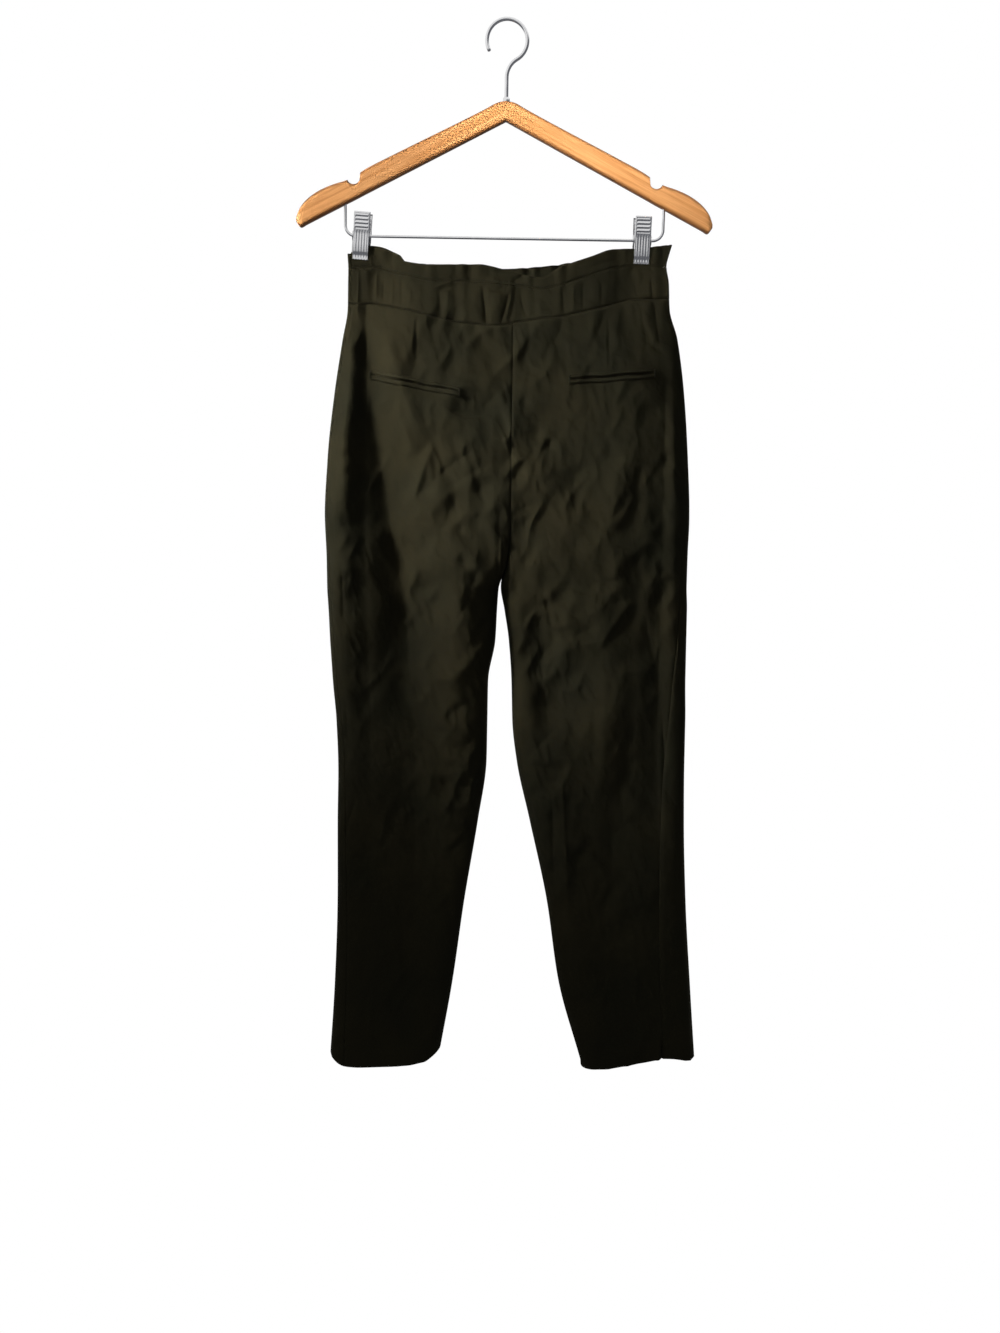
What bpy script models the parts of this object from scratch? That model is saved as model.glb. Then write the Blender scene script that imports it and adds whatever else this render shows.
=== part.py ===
"""Paperbag waist trousers hanging by the waist from a wooden hanger with two metal clips.

Metres, +Z up. The origin is the inner top of the hanger's hook. The back of the trousers
faces -Y, and +X is to the right when looking at the back.
"""

import math

import bmesh
import bpy
import numpy as np

MM = 0.001
GAP = 0.3 * MM  # between sewn pieces, and between a clip and the cloth
WALL = 1.2 * MM  # one layer of twill with its seam allowances
BAND_WALL = 1.6 * MM  # the casing and the frill are doubled cloth

# ---------------------------------------------------------------- the cut of the trousers

# Level sections in millimetres, from the frill's top to the hems. Above the crotch the two
# inner columns are the centre-back seam, and below it they are the two inseams. The depths are
# how far the back and the front stand off the middle plane.
SECTION_COLUMNS = ("z", "left_side", "left_inner", "right_inner", "right_side", "back", "front")
SECTIONS = (
    (-224, -170, 6, 6, 173, 13, 11),
    (-262, -170, 6, 6, 173, 15, 13),
    (-290, -171, 6, 6, 174, 19, 16),
    (-321, -177, 6, 6, 183, 24, 20),
    (-385, -188, 5, 5, 192, 31, 26),
    (-450, -196, 4, 4, 197, 36, 30),
    (-514, -200, 4, 4, 200, 40, 34),
    (-560, -199, 0, 0, 199, 41, 35),
    (-587, -199, -9, -7, 199, 41, 35),
    (-612, -198, -11, -3, 200, 41, 35),
    (-647, -197, -13, 2, 200, 40, 35),
    (-692, -195, -21, 5, 200, 39, 34),
    (-738, -192, -22, 6, 201, 37, 32),
    (-784, -191, -23, 11, 201, 35, 31),
    (-854, -193, -33, 26, 202, 32, 29),
    (-949, -195, -49, 46, 206, 29, 26),
    (-1046, -200, -63, 60, 213, 27, 24),
    (-1146, -208, -81, 87, 221, 25, 22),
)
CROTCH = -587 * MM
CROTCH_RISE = 70 * MM  # over this height the centre seam curves from the seat in under the crotch
CORNER = 0.36  # the part of a leg's width over which a side rounds away
ROUNDNESS = 2.2  # 2 is an ellipse, more is squarer

# Lines across the back, left to right: the waist seam, the casing's upper stitch line and the
# frill's edge. The front's lines run plainly between the same ends.
WAIST_COLUMNS = ("x", "seam", "casing", "edge")
WAIST = (
    (-170, -284, -247, -232),
    (-145, -284, -246, -224),
    (-110, -291, -255, -239),
    (-80, -298, -261, -245),
    (-30, -307, -263, -245),
    (-8, -308, -265, -249),
    (14, -304, -267, -255),
    (36, -301, -270, -258),
    (56, -299, -266, -248),
    (88, -292, -256, -237),
    (114, -285, -248, -228),
    (132, -280, -245, -227),
    (156, -279, -245, -225),
    (173, -279, -246, -223),
)
FRONT_DIP = 18 * MM
TOP = -284 * MM  # the level of the panels' first section
WAIST_REACH = 80 * MM  # below the waist seam its dip has died away within this height

# Hems: how far across from the side to the inseam, and the edge's level on back and front.
HEM_COLUMNS = ("across", "back", "front")
HEM = {
    "left": (
        (0.0, -1135, -1135),
        (0.14, -1143, -1138),
        (0.5, -1142, -1140),
        (0.86, -1137, -1136),
        (1.0, -1127, -1127),
    ),
    "right": (
        (0.0, -1141, -1141),
        (0.28, -1133, -1141),
        (0.5, -1138, -1142),
        (0.75, -1144, -1145),
        (1.0, -1150, -1150),
    ),
}
BOTTOM = -1146 * MM
HEM_REACH = 60 * MM

# Where the side seam lies on the back, as a share of the leg's width in from the fold.
SIDE_SEAM_COLUMNS = ("z", "left", "right")
SIDE_SEAM = (
    (-224, 0.02, 0.02),
    (-430, 0.02, 0.02),
    (-600, 0.035, 0.05),
    (-780, 0.06, 0.13),
    (-960, 0.09, 0.21),
    (-1146, 0.14, 0.28),
)
SLIT_TOP = -1104 * MM
SLIT_OPENING = 2.4 * MM

# The clips pinch front and back together here: middle of each clip, and the jaws' width.
CLIPS = {"left": -156 * MM, "right": 143 * MM}
PINCH_HALF_WIDTH = 13 * MM
PINCH_SPREAD = 30 * MM  # beyond the jaws the cloth opens over this distance
PINCH_LEVEL = -250 * MM
PINCH_DROP = 55 * MM

GATHERS = ((17.0, 0.0, 1.0), (26.0, 1.3, 0.6), (11.5, 2.1, 0.35))  # wavelength in mm, phase, share
BAND_GATHER = (1.0 * MM, 1.4 * MM)  # at the strip's lower edge and at its upper edge
FRILL_GATHER = (1.0 * MM, 2.4 * MM)

# The largest folds. Each row is a level: z, five places across the fold, and the depth at the
# middle three. Between the places the cloth runs almost straight. A minus depth stands out.
FOLDS = {
    "back": (
        (  # the side of the left leg, folded forward of the rest
            (-262, -172, -164, -152, -147, -136, 0, 0, 0),
            (-290, -173, -165, -151, -147, -132, 0, 8, 7),
            (-340, -175, -166, -151, -146, -122, -1, 15, 14),
            (-404, -184, -172, -151, -145, -98, -3, 16, 18),
            (-464, -192, -179, -151, -135, -72, -5, 17, 25),
            (-528, -199, -186, -152, -126, -58, -6, 16, 30),
            (-590, -201, -187, -151, -114, -46, -8, 14, 32),
            (-650, -200, -187, -151, -110, -34, -8, 13, 31),
            (-710, -198, -188, -151, -105, -26, -7, 13, 26),
            (-770, -197, -188, -151, -103, -24, -6, 12, 20),
            (-830, -197, -188, -152, -103, -28, -5, 11, 19),
            (-900, -198, -189, -153, -105, -38, -4, 8, 17),
            (-1000, -201, -191, -156, -112, -50, -2, 5, 9),
            (-1130, -204, -194, -164, -122, -70, 0, 0, 0),
        ),
        (  # the hollow inside the right thigh
            (-560, -10, -2, 10, 30, 84, 0, 0, 0),
            (-590, -10, -2, 11, 32, 92, -2, 4, 8),
            (-625, -10, -3, 9, 34, 118, -4, 5, 16),
            (-675, -9, -2, 11, 39, 128, -5, 6, 23),
            (-715, -3, 2, 16, 44, 128, -5, 5, 21),
            (-745, 2, 7, 24, 46, 110, -3, 3, 9),
            (-775, 6, 13, 29, 50, 92, 0, 0, 0),
        ),
        (  # the side of the right leg, turned away
            (-290, 124, 150, 166, 176, 190, 0, 0, 0),
            (-350, 122, 150, 168, 177, 191, 2, 3, 1),
            (-430, 119, 148, 168, 178, 193, 4, 6, 0),
            (-524, 112, 145, 167, 182, 199, 8, 11, 4),
            (-584, 116, 144, 167, 183, 199, 8, 12, 5),
            (-644, 104, 138, 167, 185, 200, 10, 15, 7),
            (-704, 106, 142, 167, 187, 201, 12, 17, 8),
            (-764, 106, 142, 168, 189, 202, 12, 17, 8),
            (-850, 88, 134, 170, 191, 204, 9, 12, 6),
            (-950, 62, 128, 174, 196, 207, 4, 6, 3),
            (-1050, 74, 136, 180, 204, 213, 2, 3, 1),
            (-1130, 86, 146, 190, 210, 216, 0, 0, 0),
        ),
        (  # the box fold at the centre of the band
            (-254, -28, -20, -9, 2, 9, 0, 0, 0),
            (-268, -28, -20, -9, 2, 9, -3, -4, -3),
            (-292, -25, -18, -9, 0, 6, -3, -4, -3),
            (-310, -22, -16, -9, -3, 3, -1, -2, -1),
            (-322, -22, -16, -9, -3, 3, 0, 0, 0),
        ),
        (  # the crest beside the centre seam
            (-400, -30, -16, -9, 4, 26, 0, 0, 0),
            (-470, -30, -15, -8, 10, 30, -2, -1, 1.5),
            (-540, -30, -14, -8, 14, 36, -3, -1, 1.5),
            (-575, -28, -14, -8, 12, 30, -2, -1, 1),
            (-600, -26, -14, -8, 10, 26, 0, 0, 0),
        ),
    ),
    "front": (
        (
            (-300, -160, -148, -128, -112, -92, 0, 0, 0),
            (-430, -176, -160, -130, -112, -88, -1, 6, 9),
            (-580, -186, -168, -134, -112, -82, -2, 11, 16),
            (-740, -182, -166, -134, -112, -84, -2, 11, 15),
            (-900, -184, -168, -138, -116, -90, -1, 6, 8),
            (-1100, -190, -174, -144, -122, -98, 0, 0, 0),
        ),
        (
            (-300, 88, 108, 126, 146, 162, 0, 0, 0),
            (-430, 84, 108, 128, 160, 178, 8, 6, -1),
            (-580, 80, 108, 132, 168, 186, 15, 11, -2),
            (-740, 82, 112, 134, 170, 188, 14, 11, -2),
            (-900, 92, 120, 142, 176, 194, 8, 6, -1),
            (-1100, 106, 130, 152, 184, 200, 0, 0, 0),
        ),
        (
            (-320, -22, -8, 5, 18, 34, 0, 0, 0),
            (-380, -24, -8, 5, 18, 36, 0, 4, 0),
            (-460, -22, -6, 5, 16, 32, 0, 3, 0),
            (-540, -18, -6, 4, 14, 26, 0, 0, 0),
        ),
    ),
}
FOLD_SHARE = 0.85  # the solid is folded a little less than the cloth that is drawn on it

# ---------------------------------------------------------------- pockets

# Each welt pocket: its two ends on the seam between its upper and lower welt.
POCKET_COLUMNS = ("side", "x_left", "z_left", "x_right", "z_right")
POCKETS = (("left", -147, -359, -50, -378), ("right", 65, -365, 157, -358))
WELT_HEIGHT = 4.4 * MM
WELT_THICKNESS = 0.9 * MM
WELT_STAND_OFF = 1.2 * MM

# ---------------------------------------------------------------- hanger

TILT = math.radians(0.9)  # the right arm hangs a little low
YOKE_THICKNESS = 12 * MM
YOKE_EDGE = 2.2 * MM
YOKE_SLOPE = 0.51  # rise over run of the arms' lower edge
YOKE_LOWER_CENTRE = -99 * MM
YOKE_UPPER_CENTRE = -79 * MM
YOKE_TIP = (219 * MM, -207 * MM)
NOTCH = (159.5 * MM, -157.5 * MM, 7 * MM)  # middle x, z and radius of the strap notch
NOSE = ((168, -161), (181, -165), (195, -171), (207, -179), (216, -189), (220.5, -199))  # the arm's end, in mm
WIRE = 1.5 * MM  # radius of the bar
BAR_LEG = 168.5 * MM
BAR_LEVEL = -216.6 * MM
BAR_BEND = 11 * MM
BAR_TOP = -174 * MM
HOOK_WIRE = 2 * MM
HOOK_RADIUS = 21 * MM
HOOK_END_ANGLE = 208  # degrees round from +X
SHANK_BOTTOM = -95 * MM
BORE_PLAY = 0.4 * MM
CHEEK_PLAY = 1.0 * MM  # a clip leans on the rod, so its holes are loose

CLIP_PLACES = {"left": (-151.3 * MM, math.radians(3.5)), "right": (146.7 * MM, math.radians(0.9))}
CLIP_SHEET = 1.0 * MM
CLIP_WIDTH = 17.2 * MM
CHEEK = 0.8 * MM
CHEEK_INSIDE = CLIP_WIDTH / 2 + GAP
SPRING_RADIUS = 3.3 * MM
# The jaw seen from its side, in mm from the rod: how far out, and how high.
JAW_PROFILE = ((8.2, 24.0), (7.4, 17.0), (6.2, 8.0), (5.0, 1.0), (4.7, -8.0), (3.8, -16.0), (2.56, -21.0), (2.56, -24.5))
CHEEK_PROFILE = ((6.2, 7.0), (2.0, 6.2), (-2.4, 3.2), (-3.4, 0.0), (-2.2, -3.2), (0.6, -4.6), (5.0, -6.2))


# ---------------------------------------------------------------- reading the tables


def column(rows, columns, name):
    return np.array([row[columns.index(name)] for row in rows], float)


def smooth(x, xs, ys):
    """A curve through the table's points: cubic pieces whose slopes never overshoot."""
    order = np.argsort(xs)
    xs, ys = xs[order], ys[order]
    rise = np.diff(ys) / np.diff(xs)
    before, after = rise[:-1], rise[1:]
    both = np.where(before * after > 0, 2 * before * after / (before + after + 1e-30), 0)
    slope = np.concatenate([rise[:1], both, rise[-1:]])
    x = np.clip(x, xs[0], xs[-1])
    i = np.clip(np.searchsorted(xs, x, "right") - 1, 0, len(xs) - 2)
    width = xs[i + 1] - xs[i]
    t = (x - xs[i]) / width
    return (
        (2 * t**3 - 3 * t**2 + 1) * ys[i]
        + (t**3 - 2 * t**2 + t) * width * slope[i]
        + (3 * t**2 - 2 * t**3) * ys[i + 1]
        + (t**3 - t**2) * width * slope[i + 1]
    )


def section(z, name):
    return smooth(z / MM, column(SECTIONS, SECTION_COLUMNS, "z"), column(SECTIONS, SECTION_COLUMNS, name)) * MM


def waist_line(x, name, face):
    xs = column(WAIST, WAIST_COLUMNS, "x") * MM
    levels = column(WAIST, WAIST_COLUMNS, name) * MM
    if face == "back":
        return smooth(x, xs, levels)
    u = np.clip(2 * (x - xs[0]) / (xs[-1] - xs[0]) - 1, -1, 1)
    return np.interp(x, xs[[0, -1]], levels[[0, -1]]) - FRONT_DIP * (1 - u**2) ** 1.5


def hem_line(leg, across, face):
    rows = HEM[leg]
    return smooth(across, column(rows, HEM_COLUMNS, "across"), column(rows, HEM_COLUMNS, face)) * MM


def seam_place(z, leg):
    return smooth(z / MM, column(SIDE_SEAM, SIDE_SEAM_COLUMNS, "z"), column(SIDE_SEAM, SIDE_SEAM_COLUMNS, leg))


# ---------------------------------------------------------------- the cloth's surface


def rounded(t):
    """From 0 to 1 along a quarter of a superellipse."""
    return (1 - (1 - np.clip(t, 0, 1)) ** ROUNDNESS) ** (1 / ROUNDNESS)


def pinch(x, z):
    """1 where a clip holds front and back together, fading to 0 away from it."""
    beyond = np.minimum(
        np.clip(x - CLIPS["left"] - PINCH_HALF_WIDTH, 0, None),
        np.clip(CLIPS["right"] - PINCH_HALF_WIDTH - x, 0, None),
    )
    below = np.clip(PINCH_LEVEL - z, 0, None)
    return np.exp(-((beyond / PINCH_SPREAD) ** 2) - (below / PINCH_DROP) ** 2)


def step_up(t):
    t = np.clip(t, 0, 1)
    return t * t * (3 - 2 * t)


def folds(x, z, face):
    """Depth of the large folds: straight runs between five places, each eased a little at both ends."""
    x, z = np.broadcast_arrays(x, z)
    total = np.zeros(x.shape)
    for rows in FOLDS[face]:
        table = np.array(rows, float)
        read = [smooth(z / MM, table[:, 0], table[:, k]) for k in range(1, 9)]
        places, depths = read[:5], [0, *read[5:], 0]
        for k in range(4):
            t = np.clip((x / MM - places[k]) / (places[k + 1] - places[k]), 0, 1)
            total += (depths[k + 1] - depths[k]) * (0.4 * t + 0.6 * step_up(t))
    return total * FOLD_SHARE * MM


def gathers(x):
    return sum(share * np.sin(2 * math.pi * x / (length * MM) + phase) for length, phase, share in GATHERS)


def cloth(leg, q, z, gather=0.0):
    """The point of a half's cloth at level z: q is 0 on the outer fold, 1 inside on the back, -1 inside on the front."""
    side, inner = section(z, f"{leg}_side"), section(z, f"{leg}_inner")
    across = np.abs(q)
    x = side + (inner - side) * across
    back = q >= 0
    reach = np.where(back, section(z, "back"), section(z, "front"))
    opening = openness(z)
    inside = opening + (1 - opening) * rounded((1 - across) / CORNER)
    form = rounded(across / CORNER) * inside
    creases = np.where(back, folds(x, z, "back"), folds(x, z, "front"))
    y = form * (reach - creases + gather * gathers(x))
    held = np.minimum(y, BAND_WALL + GAP / 2)
    y = y + (held - y) * pinch(x, z)
    return np.stack([x, np.where(back, -y, y), np.broadcast_to(z, y.shape)], axis=-1)


def openness(z):
    """1 where the left and right halves are one tube, falling to 0 at the crotch."""
    return np.clip((z - CROTCH) / CROTCH_RISE, 0, 1) ** 0.42


def outward(leg, q, z, gather):
    """The level direction out of the cloth, square to its section."""
    step = 0.004
    along = cloth(leg, np.minimum(q + step, 1), z, gather) - cloth(leg, np.maximum(q - step, -1), z, gather)
    turn = 1 if leg == "left" else -1
    normal = np.stack([turn * along[..., 1], -turn * along[..., 0]], axis=-1)
    ends = np.abs(q) > 1 - step
    normal[..., 1] *= np.where(ends, openness(z), 1)
    return normal / np.linalg.norm(normal, axis=-1, keepdims=True), along


def wall(leg, q, z, thickness, gather=0.0):
    """The outer and inner faces of a wall of cloth, as two grids of points."""
    outer = cloth(leg, q, z, gather)
    normal, along = outward(leg, q, z, gather)
    inner = outer.copy()
    inner[..., :2] -= thickness * normal
    sign = np.where(q >= 0, -1, 1)
    for face in (outer, inner):
        face[..., 1] = sign * np.maximum(sign * face[..., 1], GAP / 2)
    return outer, inner, along


# ---------------------------------------------------------------- making objects


def material(name, colour, roughness, metallic):
    made = bpy.data.materials.new(name)
    made.use_nodes = True
    shader = made.node_tree.nodes["Principled BSDF"]
    shader.inputs["Base Color"].default_value = (*colour, 1)
    shader.inputs["Roughness"].default_value = roughness
    shader.inputs["Metallic"].default_value = metallic
    return made


FINISHES = {
    "twill": ((0.022, 0.021, 0.014), 0.8, 0.0),
    "wood": ((0.62, 0.37, 0.17), 0.4, 0.0),
    "steel": ((0.75, 0.75, 0.75), 0.25, 1.0),
}


def finish(obj, look):
    obj.data.materials.append(material(obj.name, *FINISHES[look]))
    return obj


def new_object(name, data, collection):
    obj = bpy.data.objects.new(name, data)
    collection.objects.link(obj)
    return obj


def grid_faces(rows, columns):
    corner = np.arange((rows - 1) * columns).reshape(rows - 1, columns)[:, :-1].reshape(-1)
    return np.stack([corner, corner + 1, corner + columns + 1, corner + columns], axis=1)


def loft(name, outer, inner, collection):
    """A closed wall between two grids of points: both faces, and a rim round their edge."""
    rows, columns = outer.shape[:2]
    count = rows * columns
    faces = grid_faces(rows, columns)
    index = np.arange(count).reshape(rows, columns)
    rim = np.concatenate([index[0, :-1], index[:-1, -1], index[-1, :0:-1], index[:0:-1, 0]])
    following = np.roll(rim, -1)
    sides = np.stack([rim, rim + count, following + count, following], axis=1)
    mesh = bpy.data.meshes.new(name)
    points = np.concatenate([outer.reshape(-1, 3), inner.reshape(-1, 3)])
    mesh.from_pydata(points.tolist(), [], np.concatenate([faces, faces[:, ::-1] + count, sides]).tolist())
    shape = bmesh.new()
    shape.from_mesh(mesh)
    bmesh.ops.recalc_face_normals(shape, faces=shape.faces)
    shape.to_mesh(mesh)
    shape.free()
    mesh.shade_smooth()
    mesh.set_sharp_from_angle(angle=math.radians(50))
    return finish(new_object(name, mesh, collection), "twill")


# ---------------------------------------------------------------- the sewn pieces

ACROSS = np.array([0, 0.03, 0.065, 0.11, 0.155, 0.2, 0.245, 0.29, 0.34, 0.4, 0.47, 0.55, 0.63, 0.71, 0.78, 0.84, 0.9, 0.95, 1.0])
FRONT_ACROSS = np.array([0, 0.04, 0.12, 0.25, 0.4, 0.55, 0.7, 0.83, 0.94, 1.0])
RISE_LEVELS = np.array([-284, -300, -321, -345, -375, -410, -450, -490, -520, -545, -562, -574, -582, -587])
LEG_LEVELS = np.array([-594, -606, -624, -650, -680, -712, -746, -782, -820, -860, -902, -946, -990, -1036, -1080, -1104, -1125, -1146])


def level(leg, face, q, nominal):
    """A panel row's true level: it follows the waist seam at the top and the hem at the bottom."""
    x = cloth(leg, q, nominal)[..., 0]
    across = np.abs(q)
    to_waist = np.clip(1 - (TOP - nominal) / WAIST_REACH, 0, 1)
    to_hem = np.clip(1 - (nominal - BOTTOM) / HEM_REACH, 0, 1)
    waist_shift = waist_line(x, "seam", face) - GAP / 2 - TOP
    hem_shift = np.where(q >= 0, hem_line(leg, across, "back"), hem_line(leg, across, "front")) - BOTTOM
    return nominal + waist_shift * to_waist + hem_shift * to_hem


def columns_of(face, seam):
    """Where a piece's columns lie, from the side seam on the back to its inner edge.

    The back's run straight in. The front's first go round the outer fold, which one of them is on.
    """
    if face == "back":
        return seam + (1 - seam) * ACROSS
    return np.concatenate([seam, seam / 2, -FRONT_ACROSS * np.ones_like(seam)], axis=-1)


def leg_panel(leg, face, collection):
    """A back or front panel: rows from the waist seam to the hem, columns from side seam to inner edge."""
    nominal = np.concatenate([RISE_LEVELS, LEG_LEVELS])[:, None] * MM
    q = columns_of(face, seam_place(nominal, leg))
    z = level(leg, face, q, np.broadcast_to(nominal, q.shape))
    outer, inner, along = wall(leg, q, z, WALL)
    part_seam(outer, inner, along, z, face)
    keep_apart(leg, outer, inner, z)
    return loft(f"{face}_{leg}", outer, inner, collection)


def part_seam(outer, inner, along, z, face):
    """Moves the side edge half a gap off the seam, and further where the slit is open."""
    opening = GAP + SLIT_OPENING * np.clip((SLIT_TOP - z[:, 0]) / (SLIT_TOP - BOTTOM), 0, 1)
    direction = along[:, 0, :2] / np.linalg.norm(along[:, 0, :2], axis=-1, keepdims=True)
    shift = direction * (opening / 2)[:, None] * (1 if face == "back" else -1)
    outer[:, 0, :2] += shift
    inner[:, 0, :2] += shift


def keep_apart(leg, outer, inner, z):
    """Keeps a panel half a gap to its own side of the centre seam, where there is one."""
    centre = (section(z, "left_inner") + section(z, "right_inner")) / 2
    torso = z > CROTCH
    for face in (outer, inner):
        if leg == "left":
            limit = np.minimum(face[..., 0], centre - GAP / 2)
        else:
            limit = np.maximum(face[..., 0], centre + GAP / 2)
        face[..., 0] = np.where(torso, limit, face[..., 0])


def waist_piece(name, face, lines, gather, collection):
    """A strip right across one face of the waist, between two of its lines.

    Its seam with the leg panels is straight between their columns, so that the two never cross.
    gather is how far the cloth ripples along its lower and its upper edge.
    """
    walls = []
    for leg in ("left", "right"):
        coarse = columns_of(face, np.atleast_1d(seam_place(TOP, leg)))
        place = np.arange(0, len(coarse) - 0.75, 0.5)
        q = np.interp(place, np.arange(len(coarse)), coarse)
        x = cloth(leg, coarse, TOP)[..., 0]
        bottom, top = (np.interp(place, np.arange(len(x)), waist_line(x, line, face)) for line in lines)
        steps = np.linspace(0, 1, 3)[:, None]
        z = bottom + GAP / 2 + (top - bottom - GAP) * steps
        ripple = gather[0] + (gather[1] - gather[0]) * steps
        outer, inner, along = wall(leg, np.broadcast_to(q, z.shape), z, BAND_WALL, ripple)
        part_seam(outer, inner, along, z, face)
        walls.append((outer, inner))
    outer, inner = (
        np.concatenate([left, right[:, -2::-1]], axis=1) for left, right in zip(walls[0], walls[1])
    )
    return loft(name, outer, inner, collection)


def welt(name, leg, ends, upper, collection):
    """A narrow strip lying on the back panel, made from the panel's own surface moved out."""
    x_left, z_left, x_right, z_right = (value * MM for value in ends)
    t = np.linspace(0, 1, 28)
    x = x_left + (x_right - x_left) * t
    middle = z_left + (z_right - z_left) * t
    near, far = GAP / 2, WELT_HEIGHT
    z = np.stack([middle + near, middle + far] if upper else [middle - far, middle - near])
    side, inner = section(z, f"{leg}_side"), section(z, f"{leg}_inner")
    points = cloth(leg, (x - side) / (inner - side), z)
    low, high = points.copy(), points.copy()
    low[..., 1] -= WELT_STAND_OFF
    high[..., 1] -= WELT_STAND_OFF + WELT_THICKNESS
    return loft(name, high, low, collection)


# ---------------------------------------------------------------- the hanger's pieces


def wire(name, points, radius, parent, collection):
    curve = bpy.data.curves.new(name, "CURVE")
    curve.dimensions = "3D"
    curve.bevel_depth = radius
    curve.bevel_resolution = 2
    curve.use_fill_caps = True
    spline = curve.splines.new("POLY")
    spline.points.add(len(points) - 1)
    for point, place in zip(spline.points, points):
        point.co = (*place, 1)
    obj = new_object(name, curve, collection)
    obj.parent = parent
    return finish(obj, "steel")


def arc(centre, radius, start, end, steps):
    """Points on an arc in the hanger's plane, angles in degrees from +X."""
    angles = np.radians(np.linspace(start, end, steps))
    return [(centre[0] + radius * math.cos(a), 0, centre[1] + radius * math.sin(a)) for a in angles]


def hook_points():
    """Up the shank, a bend to the right, then round over the top, all arcs of one radius."""
    middle = (0, HOOK_WIRE - HOOK_RADIUS)
    join = math.radians(-60)
    bend_z = middle[1] + HOOK_RADIUS * math.sin(join) - HOOK_RADIUS * math.sin(math.radians(60))
    bend = arc((HOOK_RADIUS, bend_z), HOOK_RADIUS, 180, 120, 8)
    return [(0, 0, SHANK_BOTTOM), *bend, *arc(middle, HOOK_RADIUS, -60, HOOK_END_ANGLE, 30)[1:]]


def bar_points():
    low = BAR_LEVEL + BAR_BEND
    left = arc((-BAR_LEG + BAR_BEND, low), BAR_BEND, 180, 270, 7)
    right = arc((BAR_LEG - BAR_BEND, low), BAR_BEND, 270, 360, 7)
    return [(-BAR_LEG, 0, BAR_TOP), *left, *right, (BAR_LEG, 0, BAR_TOP)]


def yoke_half():
    """The right arm's outline from the middle of the upper edge, out, and back along the lower edge."""
    x, z, radius = NOTCH
    upper = [(0, YOKE_UPPER_CENTRE), (8 * MM, YOKE_UPPER_CENTRE - 1.5 * MM), (20 * MM, YOKE_UPPER_CENTRE - 8 * MM)]
    notch = [(px, pz) for px, _, pz in arc((x, z), radius, 150, 345, 9)]
    nose = [(px * MM, pz * MM) for px, pz in NOSE]
    return [*upper, *notch, *nose, YOKE_TIP, (YOKE_TIP[0] - 3.5 * MM, YOKE_TIP[1] - 2 * MM), (0, YOKE_LOWER_CENTRE)]


def make_yoke(parent, collection, cutters):
    half = yoke_half()
    outline = half + [(-x, z) for x, z in half[-2:0:-1]]
    curve = bpy.data.curves.new("yoke_outline", "CURVE")
    curve.dimensions = "2D"
    curve.fill_mode = "BOTH"
    curve.extrude = YOKE_THICKNESS / 2
    spline = curve.splines.new("POLY")
    spline.points.add(len(outline) - 1)
    for point, (x, z) in zip(spline.points, outline):
        point.co = (x, z, 0, 1)
    spline.use_cyclic_u = True
    flat = new_object("yoke_outline", curve, cutters)
    bpy.context.view_layer.update()
    mesh = bpy.data.meshes.new_from_object(flat.evaluated_get(bpy.context.evaluated_depsgraph_get()))
    bpy.data.objects.remove(flat)
    mesh.name = "hanger_yoke"
    shape = bmesh.new()
    shape.from_mesh(mesh)
    bmesh.ops.remove_doubles(shape, verts=shape.verts, dist=0.01 * MM)
    bmesh.ops.dissolve_limit(
        shape, angle_limit=math.radians(1), verts=shape.verts, edges=shape.edges
    )
    for vertex in shape.verts:
        vertex.co = (vertex.co.x, -vertex.co.z, vertex.co.y)
    bmesh.ops.recalc_face_normals(shape, faces=shape.faces)
    shape.to_mesh(mesh)
    shape.free()
    yoke = new_object("hanger_yoke", mesh, collection)
    yoke.parent = parent
    edge = yoke.modifiers.new("rounded edges", "BEVEL")
    edge.width = YOKE_EDGE
    edge.segments = 2
    edge.limit_method = "ANGLE"
    edge.angle_limit = math.radians(60)
    bores = [(-BAR_LEG, WIRE, BAR_TOP, -0.24), (BAR_LEG, WIRE, BAR_TOP, -0.24), (0, HOOK_WIRE, SHANK_BOTTOM, -0.06)]
    for x, radius, end, start in bores:
        blind = end + math.copysign(1 * MM, end - start)
        cutter = cylinder(f"bore_{len(cutters.objects)}", radius + BORE_PLAY, (x, 0, start), (x, 0, blind), cutters)
        cutter.parent = parent
        cut(yoke, cutter)
    return finish(yoke, "wood")


def cylinder(name, radius, start, end, collection):
    """A round bar from start to end, which lie on a line along X or Z."""
    length = math.dist(start, end)
    mesh = bpy.data.meshes.new(name)
    shape = bmesh.new()
    bmesh.ops.create_cone(shape, cap_ends=True, segments=16, radius1=radius, radius2=radius, depth=length)
    shape.to_mesh(mesh)
    shape.free()
    obj = new_object(name, mesh, collection)
    obj.location = [(a + b) / 2 for a, b in zip(start, end)]
    if abs(end[0] - start[0]) > abs(end[2] - start[2]):
        obj.rotation_euler = (0, math.pi / 2, 0)
    obj.hide_render = True
    obj.display_type = "WIRE"
    return obj


def cut(obj, cutter, operation="DIFFERENCE"):
    boolean = obj.modifiers.new(cutter.name, "BOOLEAN")
    boolean.operation = operation
    boolean.object = cutter


def jaw_sheet(name, direction, width, parent, collection):
    """A sheet bent along the jaw's profile: direction -1 is the jaw in front, 1 the one behind."""
    profile = np.array(JAW_PROFILE) * MM
    points = [(x, direction * out, up) for out, up in profile for x in (-width / 2, width / 2)]
    faces = [(2 * i, 2 * i + 1, 2 * i + 3, 2 * i + 2) for i in range(len(profile) - 1)]
    mesh = bpy.data.meshes.new(name)
    mesh.from_pydata(points, [], faces)
    obj = new_object(name, mesh, collection)
    obj.parent = parent
    thick = obj.modifiers.new("sheet", "SOLIDIFY")
    thick.thickness = CLIP_SHEET
    thick.offset = 0
    thick.use_even_offset = True
    return obj


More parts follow.
